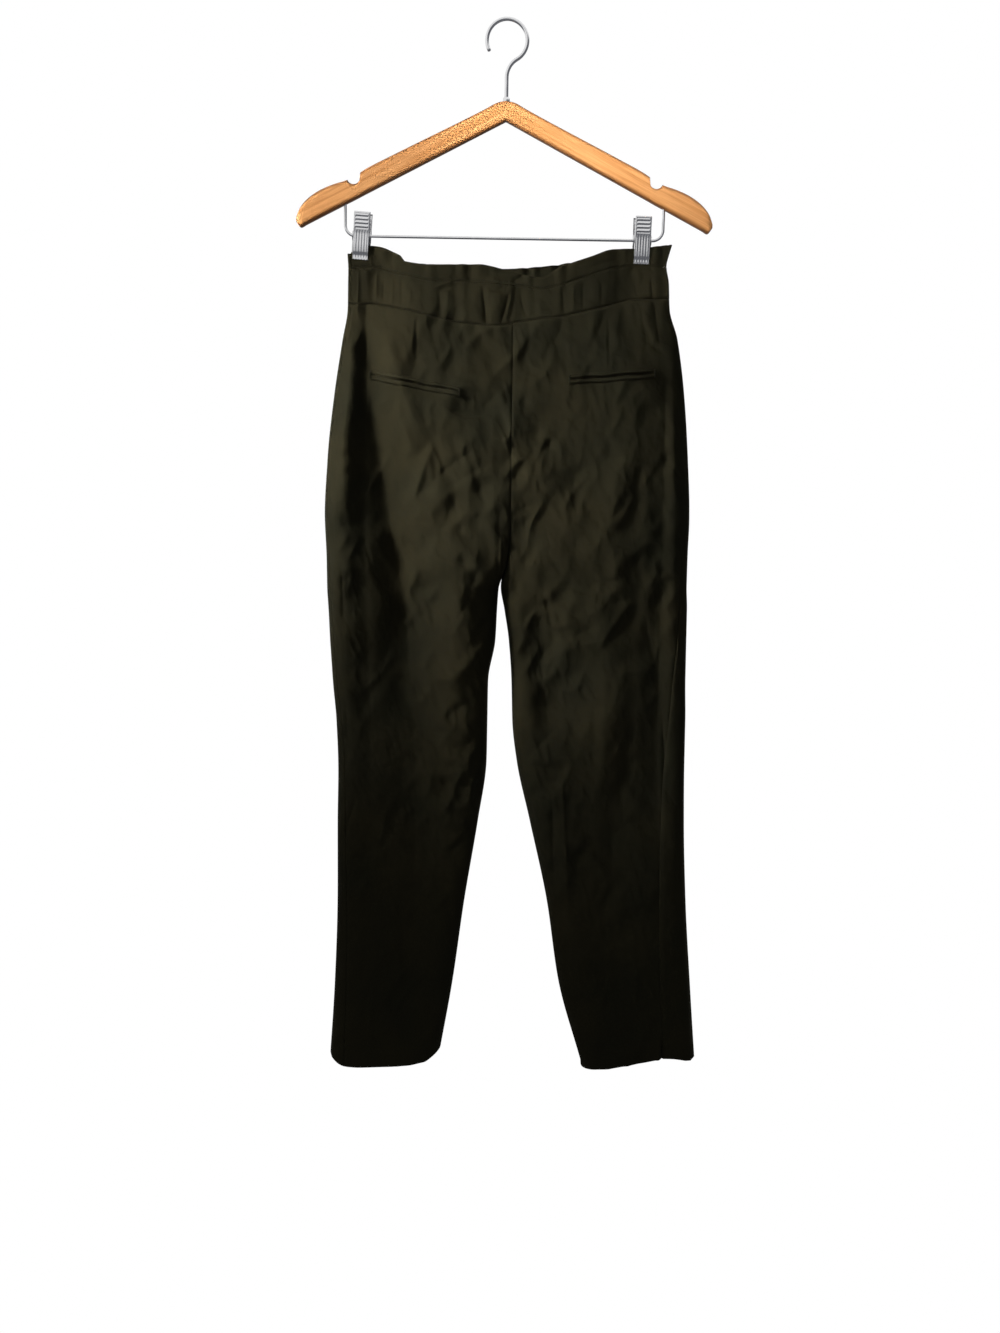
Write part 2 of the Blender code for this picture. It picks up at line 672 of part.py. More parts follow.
def cheek(name, x, parent, cutters):
    """One side cheek of a clip: its outline across the rod, as thick as its sheet."""
    mesh = bpy.data.meshes.new(name)
    shape = bmesh.new()
    corners = [shape.verts.new((x, out * MM, up * MM)) for out, up in CHEEK_PROFILE]
    face = shape.faces.new(corners)
    grown = bmesh.ops.extrude_face_region(shape, geom=[face])["geom"]
    moved = [item for item in grown if isinstance(item, bmesh.types.BMVert)]
    bmesh.ops.translate(shape, verts=moved, vec=(CHEEK, 0, 0))
    bmesh.ops.recalc_face_normals(shape, faces=shape.faces)
    shape.to_mesh(mesh)
    shape.free()
    obj = new_object(name, mesh, cutters)
    obj.parent = parent
    obj.hide_render = True
    obj.display_type = "WIRE"
    return obj


def make_spring(name, parent, collection):
    """The spring's barrel round the rod, turned about its axis."""
    inner, outer, reach = WIRE + BORE_PLAY, SPRING_RADIUS, CHEEK_INSIDE - 2 * GAP
    mesh = bpy.data.meshes.new(name)
    ring = [(outer, 0, reach), (outer, 0, -reach), (inner, 0, -reach), (inner, 0, reach)]
    mesh.from_pydata(ring, [(0, 1), (1, 2), (2, 3), (3, 0)], [])
    obj = new_object(name, mesh, collection)
    obj.parent = parent
    obj.rotation_euler = (0, math.pi / 2, 0)
    turn = obj.modifiers.new("turned", "SCREW")
    turn.axis = "Z"
    turn.steps = turn.render_steps = 16
    turn.use_merge_vertices = True
    turn.merge_threshold = 0.0001
    return finish(obj, "steel")


def make_clip(side, hanger, collection, cutters):
    x, lean = CLIP_PLACES[side]
    pivot = new_object(f"clip_{side}_pivot", None, collection)
    pivot.parent = hanger
    pivot.location = (x, 0, BAR_LEVEL)
    pivot.rotation_euler = (0, lean, 0)
    finish(jaw_sheet(f"clip_{side}_front_jaw", -1, CLIP_WIDTH, pivot, collection), "steel")
    rear = jaw_sheet(f"clip_{side}_rear_jaw", 1, 2 * (CHEEK_INSIDE + CHEEK), pivot, collection)
    for place, start in (("outer", -CHEEK_INSIDE - CHEEK), ("inner", CHEEK_INSIDE)):
        cut(rear, cheek(f"clip_{side}_{place}_cheek", start, pivot, cutters), "UNION")
    reach = CHEEK_INSIDE + 3 * CHEEK
    bore = cylinder(f"clip_{side}_bore", WIRE + CHEEK_PLAY, (-reach, 0, 0), (reach, 0, 0), cutters)
    bore.parent = pivot
    cut(rear, bore)
    finish(rear, "steel")
    spring = make_spring(f"clip_{side}_spring", hanger, collection)
    spring.location = pivot.location


# ---------------------------------------------------------------- the whole


def main():
    for obj in list(bpy.data.objects):
        bpy.data.objects.remove(obj)
    parts = bpy.data.collections.new("paperbag_waist_trousers")
    cutters = bpy.data.collections.new("cutters")
    for collection in (parts, cutters):
        bpy.context.scene.collection.children.link(collection)
    for leg in ("left", "right"):
        leg_panel(leg, "back", parts)
        leg_panel(leg, "front", parts)
    for face in ("back", "front"):
        waist_piece(f"waistband_{face}", face, ("seam", "casing"), BAND_GATHER, parts)
        waist_piece(f"frill_{face}", face, ("casing", "edge"), FRILL_GATHER, parts)
    for side, *ends in POCKETS:
        welt(f"pocket_{side}_upper_welt", side, ends, True, parts)
        welt(f"pocket_{side}_lower_welt", side, ends, False, parts)
    hanger = new_object("hanger", None, parts)
    hanger.rotation_euler = (0, TILT, 0)
    make_yoke(hanger, parts, cutters)
    wire("hanger_hook", hook_points(), HOOK_WIRE, hanger, parts)
    wire("hanger_bar", bar_points(), WIRE, hanger, parts)
    for side in CLIP_PLACES:
        make_clip(side, hanger, parts, cutters)


if __name__ == "__main__":
    main()
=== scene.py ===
"""Paperbag waist trousers on a wooden clip hanger: cloth, seams, hanger and studio.

Metres, +Z up. The origin is the inner top of the hanger's hook, the back of the trousers faces
-Y, and +X is to the right when looking at the back. Tables, and sizes with no MM beside them, are
in millimetres.
"""

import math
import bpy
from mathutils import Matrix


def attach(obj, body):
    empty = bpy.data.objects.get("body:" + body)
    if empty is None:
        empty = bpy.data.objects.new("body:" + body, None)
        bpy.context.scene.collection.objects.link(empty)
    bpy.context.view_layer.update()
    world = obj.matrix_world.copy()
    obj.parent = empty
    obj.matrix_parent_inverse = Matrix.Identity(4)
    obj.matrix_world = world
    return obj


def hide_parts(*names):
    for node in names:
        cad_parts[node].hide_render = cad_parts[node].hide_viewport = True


bl_info = {
    "name": "Paperbag waist trousers",
    "version": (1, 0, 0),
    "blender": (4, 5, 0),
    "location": "View3D > Sidebar > Trousers",
    "description": "Hangs a pair of twill trousers from a wooden clip hanger",
    "category": "Object",
}

import bpy
import numpy as np

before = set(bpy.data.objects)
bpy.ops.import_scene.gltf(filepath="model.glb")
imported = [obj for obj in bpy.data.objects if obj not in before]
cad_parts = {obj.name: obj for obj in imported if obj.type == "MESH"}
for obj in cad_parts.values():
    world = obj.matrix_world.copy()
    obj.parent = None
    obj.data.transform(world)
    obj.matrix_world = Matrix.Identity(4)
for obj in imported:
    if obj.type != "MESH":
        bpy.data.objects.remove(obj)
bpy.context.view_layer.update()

MM = 0.001
GAP = 0.3 * MM


def by_column(*rows):
    """A table's columns as arrays, from its rows."""
    return np.array(rows, float).T


# ---------------------------------------------------------------- the cut, as the frame has it

# z, left side, left inner, right inner, right side, back, front
SECTIONS = by_column(
    (-224, -170, 6, 6, 175, 13, 11),
    (-234, -170, 6, 6, 172, 14, 12),
    (-245, -169.5, 6, 6, 169.6, 14.4, 12.4),
    (-262, -170, 6, 6, 172.5, 15, 13),
    (-290, -171, 6, 6, 174, 19, 16),
    (-321, -177, 6, 6, 183, 24, 20),
    (-385, -188, 5, 5, 192, 31, 26),
    (-450, -196, 4, 4, 197, 36, 30),
    (-514, -200, 4, 4, 200, 40, 34),
    (-560, -199, 0, 0, 199, 41, 35),
    (-587, -199, -9, -7, 199, 41, 35),
    (-612, -198, -11, -3, 200, 41, 35),
    (-647, -197, -13, 2, 200, 40, 35),
    (-692, -195, -21, 5, 200, 39, 34),
    (-738, -192, -22, 6, 201, 37, 32),
    (-784, -191, -23, 11, 201, 35, 31),
    (-854, -193, -33, 26, 202, 32, 29),
    (-949, -195, -49, 46, 206, 29, 26),
    (-1046, -200, -63, 60, 213, 27, 24),
    (-1146, -208, -81, 87, 221, 25, 22),
)
COLUMN = {"left_side": 1, "left_inner": 2, "right_inner": 3, "right_side": 4, "back": 5, "front": 6}
CROTCH = -587 * MM
CROTCH_RISE = 70 * MM  # how far above the crotch the inseam's rounding has gone
CORNER = 0.36  # share of a half's width over which it rounds off at the fold
INSEAM_CORNER = 0.27  # the same at the inseam
ROUNDNESS = 2.2  # the superellipse's power

# x, waist seam, casing stitch line, frill edge
WAIST = by_column(
    (-170, -284, -247, -232),
    (-145, -284, -246, -224),
    (-114, -290, -254, -235),
    (-108.5, -291, -255, -241.5),
    (-80, -298, -261, -245),
    (-30, -307, -263, -245),
    (-8, -308, -265, -249),
    (14, -304, -267, -255),
    (36, -301, -270, -258),
    (56, -299, -266, -248),
    (88, -292, -256, -237),
    (114, -285, -248, -228),
    (132, -280, -245, -227),
    (156, -279, -245, -225),
    (173, -279, -246, -223),
)
LINE = {"seam": 1, "casing": 2, "edge": 3}
FRONT_DIP = 18 * MM  # how far the front's waist lines sag at the middle
TOP = -284 * MM  # where the panels' rows start, before they bend with the waist seam
WAIST_REACH = 80 * MM  # how far down they bend with it

# share of the leg's width in from the fold, hem level on the back, hem level on the front
HEM = {
    "left": by_column(
        (0, -1135, -1135), (0.14, -1143, -1138), (0.5, -1142, -1140), (0.86, -1137, -1136), (1, -1127, -1127)
    ),
    "right": by_column(
        (0, -1141, -1141), (0.28, -1133, -1141), (0.5, -1138, -1142), (0.75, -1144, -1145), (1, -1150, -1150)
    ),
}
BOTTOM = -1146 * MM  # where the panels' rows end, before they bend with the hem
HEM_REACH = 60 * MM  # how far up they bend with it
HEM_TURN = 23 * MM  # the hem's turned-up allowance

# z, side seam's share in from the fold on the left leg and on the right leg
SIDE_SEAM = by_column(
    (-224, 0.02, 0.02),
    (-430, 0.02, 0.02),
    (-600, 0.035, 0.05),
    (-780, 0.06, 0.13),
    (-960, 0.09, 0.21),
    (-1146, 0.14, 0.28),
)
SLIT_TOP = -1104 * MM
SLIT_OPENING = 2.4 * MM  # at the hem

CLIPS = {"left": -156 * MM, "right": 143 * MM}
PINCH_HALF_WIDTH = 13 * MM
PINCH_SPREAD = 30 * MM  # how far beside a clip the cloth is still drawn together
PINCH_LEVEL = -250 * MM
PINCH_DROP = 55 * MM  # how far below a clip it is
CLIP_FOOT = -246 * MM
HALF_CLIP = 9 * MM
PINCHED = 1.75 * MM  # how far each face stands off the middle plane under a clip

# ---------------------------------------------------------------- how the cloth hangs

# The largest folds. Each row is a level: z, five places across the fold, and the depth at the
# middle three. Between the places the cloth runs almost straight, so that each is a soft crease.
# A minus depth stands out.
FOLDS = {
    "back": (
        (  # the side of the left leg, folded forward of the rest
            (-262, -172, -164, -152, -147, -136, 0, 0, 0),
            (-290, -173, -165, -151, -147, -132, 0, 8, 7),
            (-340, -175, -166, -151, -146, -122, -1, 15, 14),
            (-404, -184, -172, -151, -145, -98, -3, 16, 18),
            (-464, -192, -179, -151, -135, -72, -5, 17, 25),
            (-528, -199, -186, -152, -126, -58, -6, 16, 30),
            (-590, -201, -187, -151, -114, -46, -8, 14, 32),
            (-650, -200, -187, -151, -110, -34, -8, 13, 31),
            (-710, -198, -188, -151, -105, -26, -7, 13, 26),
            (-770, -197, -188, -151, -103, -24, -6, 12, 20),
            (-830, -197, -188, -152, -103, -28, -5, 11, 19),
            (-900, -198, -189, -153, -105, -38, -4, 8, 17),
            (-1000, -201, -191, -156, -112, -50, -2, 5, 9),
            (-1130, -204, -194, -164, -122, -70, 0, 0, 0),
        ),
        (  # the hollow inside the right thigh
            (-560, -10, -2, 10, 30, 84, 0, 0, 0),
            (-590, -10, -2, 11, 32, 92, -2, 4, 8),
            (-625, -10, -3, 9, 34, 118, -4, 5, 16),
            (-675, -9, -2, 11, 39, 128, -5, 6, 23),
            (-715, -3, 2, 16, 44, 128, -5, 5, 21),
            (-745, 2, 7, 24, 46, 110, -3, 3, 9),
            (-775, 6, 13, 29, 50, 92, 0, 0, 0),
        ),
        (  # the side of the right leg, turned away
            (-290, 124, 150, 166, 176, 190, 0, 0, 0),
            (-350, 122, 150, 168, 177, 191, 2, 3, 1),
            (-430, 119, 148, 168, 178, 193, 4, 6, 0),
            (-524, 112, 145, 167, 182, 199, 8, 11, 4),
            (-584, 116, 144, 167, 183, 199, 8, 12, 5),
            (-644, 104, 138, 167, 185, 200, 10, 15, 7),
            (-704, 106, 142, 167, 187, 201, 12, 17, 8),
            (-764, 106, 142, 168, 189, 202, 12, 17, 8),
            (-850, 88, 134, 170, 191, 204, 9, 12, 6),
            (-950, 62, 128, 174, 196, 207, 4, 6, 3),
            (-1050, 74, 136, 180, 204, 213, 2, 3, 1),
            (-1130, 86, 146, 190, 210, 216, 0, 0, 0),
        ),
        (  # the box fold at the centre of the band
            (-254, -28, -20, -9, 2, 9, 0, 0, 0),
            (-268, -28, -20, -9, 2, 9, -3, -4, -3),
            (-292, -25, -18, -9, 0, 6, -3, -4, -3),
            (-310, -22, -16, -9, -3, 3, -1, -2, -1),
            (-322, -22, -16, -9, -3, 3, 0, 0, 0),
        ),
        (  # the crest beside the centre seam
            (-400, -30, -16, -9, 4, 26, 0, 0, 0),
            (-470, -30, -15, -8, 10, 30, -2, -1, 1.5),
            (-540, -30, -14, -8, 14, 36, -3, -1, 1.5),
            (-575, -28, -14, -8, 12, 30, -2, -1, 1),
            (-600, -26, -14, -8, 10, 26, 0, 0, 0),
        ),
    ),
    "front": (
        (  # the hollow down the left leg's front
            (-300, -160, -148, -128, -112, -92, 0, 0, 0),
            (-430, -176, -160, -130, -112, -88, -1, 6, 9),
            (-580, -186, -168, -134, -112, -82, -2, 11, 16),
            (-740, -182, -166, -134, -112, -84, -2, 11, 15),
            (-900, -184, -168, -138, -116, -90, -1, 6, 8),
            (-1100, -190, -174, -144, -122, -98, 0, 0, 0),
        ),
        (  # the hollow down the right leg's front
            (-300, 88, 108, 126, 146, 162, 0, 0, 0),
            (-430, 84, 108, 128, 160, 178, 8, 6, -1),
            (-580, 80, 108, 132, 168, 186, 15, 11, -2),
            (-740, 82, 112, 134, 170, 188, 14, 11, -2),
            (-900, 92, 120, 142, 176, 194, 8, 6, -1),
            (-1100, 106, 130, 152, 184, 200, 0, 0, 0),
        ),
        (  # the hollow at the centre-front seam
            (-320, -22, -8, 5, 18, 34, 0, 0, 0),
            (-380, -24, -8, 5, 18, 36, 0, 4, 0),
            (-460, -22, -6, 5, 16, 32, 0, 3, 0),
            (-540, -18, -6, 4, 14, 26, 0, 0, 0),
        ),
    ),
}

# Where the cloth is crumpled: x, z of the middle, reach sideways and up and down, height.
CRUMPLES = {
    "back": (
        (-45, -465, 55, 70, 1.5),
        (-92, -440, 40, 100, 1.0),
        (-88, -570, 36, 90, 1.0),
        (105, -440, 60, 100, 0.6),
        (-50, -590, 40, 80, 2.2),
        (-60, -700, 40, 60, 1.8),
        (-55, -795, 40, 60, 2.5),
        (-60, -880, 34, 60, 1.4),
        (22, -460, 34, 60, 1.5),
        (52, -640, 50, 70, 2.0),
        (40, -765, 40, 60, 2.0),
        (62, -880, 30, 90, 1.2),
        (150, -560, 50, 140, 0.8),
        (-180, -620, 26, 200, 1.2),
        (0, -330, 160, 40, 0.8),
        (-110, -1000, 60, 110, 0.8),
        (135, -1010, 60, 110, 0.8),
    ),
    "front": (
        (-50, -560, 60, 90, 2.1),
        (60, -560, 60, 90, 2.1),
        (-80, -800, 50, 80, 2.1),
        (90, -800, 50, 80, 2.1),
        (0, -330, 160, 40, 0.9),
    ),
}
CRUMPLED_EVERYWHERE = 0.7  # height of the crumpling away from those places
CRUMPLE_SIZES = ((34, 1.6, 0.7), (19, 0.95, -0.55), (10.5, 0.42, 0.3))  # size and height, turn in radians

# Creases: x, z of one end, x, z of the other, half width, depth, lip beside it, bow.
CREASES = {
    "back": (
        # gathers of the band and the frill
        (-158, -250, -160, -300, 3.4, -1.5, 0, 0),
        (-139, -252, -140, -283, 3.2, -1.5, 0, 0),
        (-131, -256, -132, -284, 3.0, 1.4, 0, 0),
        (-122, -258, -122, -288, 3.2, -1.3, 0, 0),
        (-112, -256, -112, -290, 3.2, 1.0, 0, 0),
        (-103, -266, -105, -292, 3.0, -1.0, 0, 1),
        (-72, -272, -70, -300, 4.0, 1.4, 0, 0),
        (-62, -268, -68, -302, 3.2, -1.3, 0, 1),
        (-80, -271, -50, -260, 3.0, -1.3, 0.4, 1),
        (-72, -271, -60, -270, 2.2, 1.2, 0, 0),
        (-26, -268, -22, -309, 3.2, 3.0, 0, 0),
        (3, -272, -7, -308, 2.8, 2.4, 0, 0),
        (-20, -271, -4, -271, 2.0, 1.8, 0.3, -1),
        (-12, -278, 0, -276, 2.2, -0.8, 0, 0),
        (4, -264, 20, -254, 3.0, 1.4, 0.3, 0),
        (14, -276, 22, -302, 3.2, 1.5, 0, -1),
        (32, -282, 36, -300, 4.0, -0.7, 0, 0),
        (58, -268, 60, -298, 4.0, 1.9, 0, 0),
        (70, -268, 69, -296, 3.2, -1.2, 0, 0),
        (80, -264, 80, -294, 2.4, 1.0, 0, 0),
        (100, -262, 100, -291, 3.8, 1.4, 0, 0),
        (112, -258, 113, -286, 5.0, -0.8, 0, 0),
        (136, -256, 138, -279, 5.0, 1.3, 0, 0),
        (153, -258, 156, -283, 3.2, 2.2, 0, 0),
        (144, -280, 159, -279, 3.4, 1.8, 0, 0),
        (-106, -268, -100, -268, 2.6, 0.9, 0, 0),
        (60, -266, 84, -256, 2.4, 1.0, 0.4, 0),
        (84, -250, 118, -240, 3.0, 0.9, 0.3, 2),
        (-50, -252, -34, -262, 3.0, 0.8, 0, 0),
        # just under the waist seam
        (103, -296, 93, -322, 4.5, 1.5, 0, 0),
        (142, -288, 149, -330, 5.0, 1.8, 0, 0),
        (157, -283, 162, -332, 4.0, 1.9, 0, 0),
        (120, -292, 112, -330, 5.0, -0.9, 0, 0),
        (58, -302, 46, -332, 5.0, 1.0, 0, 2),
        (26, -312, 16, -346, 5.5, 1.0, 0, 0),
        (-62, -312, -56, -345, 5.0, 0.9, 0, 0),
        (-96, -300, -97, -342, 1.8, 1.6, 0.5, 0),
        (-92, -338, -98, -348, 3.0, 0.9, 0, 0),
        (107, -302, 108, -357, 1.6, 1.1, 0.4, 0),
        (146, -308, 152, -330, 4.0, 1.7, 0.2, 2),
        (150, -326, 170, -338, 4.5, 1.7, 0.3, 0),
        (-166, -300, -171, -330, 4.0, -1.2, 0, 0),
        # under the pockets' mouths
        (-145, -359, -52, -378, 1.5, 2.2, 0, 0),
        (67, -365, 155, -358, 1.3, 1.6, 0, 0),
        (-147, -364, -50, -384, 3.0, 1.1, 0, 0),
        # left seat
        (-68, -392, -22, -403, 4.2, 2.3, 0.35, -3),
        (-26, -394, -6, -376, 4.0, 1.3, 0.2, 0),
        (-88, -478, -15, -428, 5.5, 1.7, 0.4, 3),
        (-77, -489, -15, -452, 4.6, 1.4, 0.3, 2),
        (-60, -440, -20, -418, 6.0, -0.9, 0, 0),
        (-111, -510, -56, -520, 4.0, 1.5, 0.3, -2),
        (-111, -538, -80, -546, 3.6, 1.3, 0.3, 0),
        (-80, -547, -27, -561, 4.2, 1.5, 0.3, -2),
        (-60, -560, -28, -558, 3.4, 1.0, 0.2, 0),
        (-33, -576, -74, -646, 6.5, 2.6, 0.3, 4),
        (-27, -560, -54, -610, 6.0, 1.8, 0, 0),
        (-113, -617, -89, -619, 3.6, 1.1, 0.2, 0),
        (-78, -684, -51, -676, 3.8, 1.2, 0.2, 0),
        (-67, -728, -23, -703, 5.5, 1.7, 0.2, 2),
        (-44, -640, -24, -668, 6.0, 1.4, 0, 0),
        (-116, -428, -94, -452, 9.0, 1.5, 0, 0),
        (-118, -470, -84, -498, 7.0, 0.9, 0, 2),
        (-94, -580, -90, -640, 8.0, -1.2, 0, 2),
        # left knee and below
        (-30, -738, -76, -800, 7.5, 2.5, 0.2, 3),
        (-82, -800, -25, -809, 4.4, 2.8, 0.4, -2),
        (-42, -766, -43, -801, 5.5, -1.6, 0, 0),
        (-60, -812, -78, -858, 9.0, -1.9, 0, 0),
        (-32, -844, -72, -893, 6.5, 2.3, 0.2, 2),
        (-93, -1023, -68, -1023, 4.6, 1.3, 0.2, 0),
        (-98, -930, -80, -1000, 8.0, 1.0, 0, 2),
        (-122, -950, -118, -1080, 10.0, 2.2, 0, 2),
        (-86, -1060, -96, -1110, 7.0, 1.0, 0, 0),
        (-150, -1030, -160, -1100, 8.0, -1.2, 0, 0),
        # strip beside the left fold
        (-178, -560, -178, -624, 3.6, 1.3, 0.3, 0),
        (-168, -820, -187, -880, 4.4, 2.0, 0.4, 0),
        (-176, -430, -184, -520, 4.0, 0.8, 0, 0),
        (-180, -700, -178, -790, 4.0, 0.9, 0, 2),
        (-184, -930, -188, -1010, 4.4, 1.0, 0, 0),
        # centre back seam pull
        (-7, -530, -7, -582, 3.6, -1.5, 0, 0),
        # right seat and leg
        (13, -454, 62, -414, 6.5, 1.6, 0.3, -3),
        (46, -420, 44, -456, 6.0, 1.2, 0, 0),
        (4, -509, 24, -496, 3.8, 1.4, 0.2, 0),
        (19, -502, 20, -580, 7.0, 1.2, 0, 0),
        (36, -576, 53, -668, 8.0, 2.0, 0.2, 3),
        (53, -664, 44, -682, 5.0, 1.6, 0, 0),
        (43, -573, 91, -591, 4.4, 1.2, 0.3, 0),
        (93, -577, 125, -577, 3.6, 1.0, 0.2, 0),
        (56, -631, 90, -611, 5.0, -1.1, 0, 0),
        (56, -657, 112, -641, 5.0, -1.2, 0, 1),
        (60, -644, 96, -628, 4.0, 1.2, 0, 0),
        (60, -735, 12, -782, 6.0, 2.4, 0.2, 2),
        (12, -786, 57, -786, 4.2, 2.0, 0.3, 0),
        (50, -812, 54, -938, 6.0, 3.2, 0, 0),
        (60, -790, 70, -962, 5.5, -2.4, 0, 0),
        (26, -817, 47, -817, 3.6, 1.3, 0.2, 0),
        (55, -1004, 77, -1004, 3.8, 1.3, 0.2, 0),
        (71, -1069, 100, -1057, 4.0, 1.3, 0.3, 0),
        (96, -700, 90, -800, 9.0, 1.4, 0, 3),
        (120, -840, 116, -960, 10.0, 1.2, 0, 0),
        (142, -960, 150, -1080, 9.0, -1.2, 0, 0),
        (110, -1010, 122, -1120, 9.0, 1.4, 0, 0),
        (70, -470, 96, -520, 8.0, 0.9, 0, 0),
        (84, -410, 120, -440, 8.0, 0.8, 0, 0),
        (165, -442, 196, -479, 4.2, 1.6, 0.3, 0),
        (162, -561, 193, -582, 4.2, 1.5, 0.3, 0),
        (177, -834, 199, -905, 4.4, -1.6, 0, 0),
        (172, -726, 182, -836, 3.6, 2.0, 0.3, 0),
        (186, -990, 200, -1006, 4.0, 1.4, 0, 0),
        # the hems' corners and slits
        (179, -1106, 180, -1150, 2.4, 2.6, 0.6, 0),
        (202, -1122, 204, -1150, 2.6, 1.8, 0.4, 0),
        (-205, -1119, -186, -1099, 3.6, -3.0, 0, 1),
        (-203, -1127, -183, -1107, 2.6, 2.2, 0.5, 1),
        (150, -620, 168, -690, 6.0, 1.1, 0, 0),
    ),
    "front": (
        (-60, -305, -52, -380, 5.0, 1.4, 0.2, 2),
        (62, -305, 54, -384, 5.0, 1.4, 0.2, -2),
        (-100, -300, -92, -352, 5.0, 1.2, 0, 0),
        (98, -300, 92, -356, 5.0, 1.2, 0, 0),
        (-28, -306, -26, -350, 4.0, 1.0, 0, 0),
        (34, -306, 32, -346, 4.0, 1.0, 0, 0),
        (-120, -440, -60, -470, 6.0, 1.5, 0.3, 3),
        (60, -452, 124, -430, 6.0, 1.4, 0.3, -3),
        (-16, -540, -82, -505, 5.5, 1.9, 0.3, 3),
        (24, -545, 88, -508, 5.5, 1.9, 0.3, -3),
        (-14, -566, -70, -556, 5.0, 1.7, 0.2, 2),
        (20, -570, 80, -566, 5.0, 1.6, 0.2, -2),
        (-30, -600, -66, -660, 6.5, 2.0, 0.2, 2),
        (30, -606, 72, -676, 6.5, 2.1, 0.2, -2),
        (-50, -790, -100, -806, 5.0, 2.0, 0.3, 2),
        (60, -800, 110, -786, 5.0, 1.9, 0.3, 2),
        (-60, -830, -110, -860, 6.0, 1.6, 0.2, 0),
        (70, -838, 126, -866, 6.0, 1.6, 0.2, 0),
        (-150, -640, -160, -760, 6.0, 1.4, 0, 2),
        (160, -600, 168, -740, 6.0, 1.4, 0, 2),
        (-90, -960, -96, -1080, 8.0, 1.4, 0, 0),
        (100, -980, 112, -1090, 8.0, 1.4, 0, 0),
        (-170, -880, -178, -960, 5.0, 1.0, 0, 0),
        (186, -880, 192, -980, 5.0, 1.0, 0, 0),
    ),
}

# Gathers of the front's waist, which run on evenly: wavelength in mm, phase, share.
GATHERS = ((17.0, 0.0, 1.0), (26.0, 1.3, 0.6), (11.5, 2.1, 0.35))
GATHERS_VARY = 29 * MM  # over how far they grow taller or lower
UNEVEN = ((46 * MM, 0.8 * MM), (21 * MM, 0.34 * MM))  # lattice size and height of the slight waviness
UNEVEN_SEED = 11
CRUMPLE_SEED = 23
LATTICE_SIDE = 200  # the lattices' cells each way, enough for the smallest size

# columns, rows above the calf, rows below it; flat width and length, and area, in metres
PANELS = {"back": ((156, 225, 64), (0.26, 0.90), 0.160), "front": ((96, 180, 52), (0.27, 0.89), 0.165)}
CALF = -890 * MM
PANEL_WALL, BAND_WALL, ALLOWANCE_WALL = 1.0 * MM, 1.4 * MM, 0.5 * MM
RUBBED = 2.5 * MM  # how far in from a sewn edge the cloth is rubbed paler
WAIST_ALLOWANCE = ((-106, 92), 3.5)  # the x it runs between, and half its height
CENTRE_ALLOWANCE = ((-312, -574), 6)  # the z it runs between, and half its width
STITCH_INSET = 1.6 * MM  # from a strip's edge to its stitch line
ROUND_FOLD = 6  # columns of a front sheet between the side seam and the fold
RIPPLE = {"seam": (0.5 * MM, 1.2 * MM), "casing": (0.9 * MM, 2.1 * MM)}  # gathers at a strip's lower and upper line
STITCH_PITCH, STITCH_LENGTH, STITCH_RADIUS, STITCH_LIFT = 3.0 * MM, 2.2 * MM, 0.26 * MM, 0.1 * MM
TACK_LENGTH, TACK_RADIUS, TACK_REACH = 2.0 * MM, 0.27 * MM, 4.2

# pocket: leg, x and z of the left end, x and z of the right end, on the mouth between the welts
POCKETS = {"left": (-147, -359, -50, -378), "right": (65, -365, 157, -358)}
WELT_HEIGHT = 4.4 * MM
WELT_PROUD = 2.1 * MM
MOUTH = 1.5 * MM  # how far the two welts stand apart

# ---------------------------------------------------------------- the hanger's sizes

TILT = math.radians(0.9)
YOKE_THICKNESS = 12 * MM
YOKE_POWER = 4.5  # the superellipse's power
YOKE_SIDES = 44
YOKE_TIP = 9  # how far in from its tips the yoke thins
BAR_LEVEL = -216.6 * MM
BAR_LEG = 168.5 * MM
BAR_BEND = 11 * MM
BAR_TOP = -176 * MM
BAR_WIRE = 1.5 * MM
HOOK_WIRE = 2 * MM
HOOK_RADIUS = 21 * MM
HOOK_END = math.radians(208)
SHANK_BOTTOM = -93 * MM
FERRULE = (-82.5 * MM, -76.5 * MM, 3.6 * MM)  # its lower end, its upper end and its radius
# x and z along the arm's upper edge from the middle to the strap's notch, and from there to the tip
YOKE_UPPER = by_column((0, -79), (8, -80.5), (20, -86.5), (34, -93.6), (120, -135.5), (146, -148.6), (153, -153))
YOKE_NOSE = by_column((167, -160.6), (181, -165), (195, -171), (207, -179), (216, -189), (220.5, -199))
NOTCH = (159.5, -157.5, 7.0)  # x and z of its middle, and its radius
YOKE_LOWER = by_column(
    (0, -99), (60, -129.6), (120, -160.2), (180, -190.8), (210, -206), (215.5, -208.8), (220.5, -203)
)
YOKE_SLOPE = 0.51  # the arms' fall for each step outwards
CLIP_PLACES = {"left": (-151.3 * MM, math.radians(3.5)), "right": (146.7 * MM, math.radians(0.9))}  # x and lean
CLIP_WIDTH = 17.2 * MM
CLIP_SHEET = 0.9 * MM
CHEEK_INSIDE = CLIP_WIDTH / 2 + GAP
CHEEK = 0.8 * MM
# out from the rod and up from it, down a jaw's middle
JAW = by_column(
    (8.2, 24.0), (7.4, 17.0), (6.2, 8.0), (5.0, 1.0), (4.7, -8.0), (3.8, -16.0), (2.56, -21.0), (2.56, -24.5)
)
GRIP_PITCH, GRIP_HEIGHT, GRIPS_FROM, GRIPS_TO = 3.77, 0.55, 6.2, 22.2  # across the jaw, above the rod
RIB_HEIGHT, RIBS_FROM, RIBS_TO = 0.07, -23, 5.6  # down the jaw, between the grips and the teeth
TOOTH_HEIGHT, TEETH_TOP = 0.75, -22.6
LIP, LIP_FROM = -0.9, 22.8  # the upper edge, turned in
TURN_IN = -1.5  # the long edges, turned in
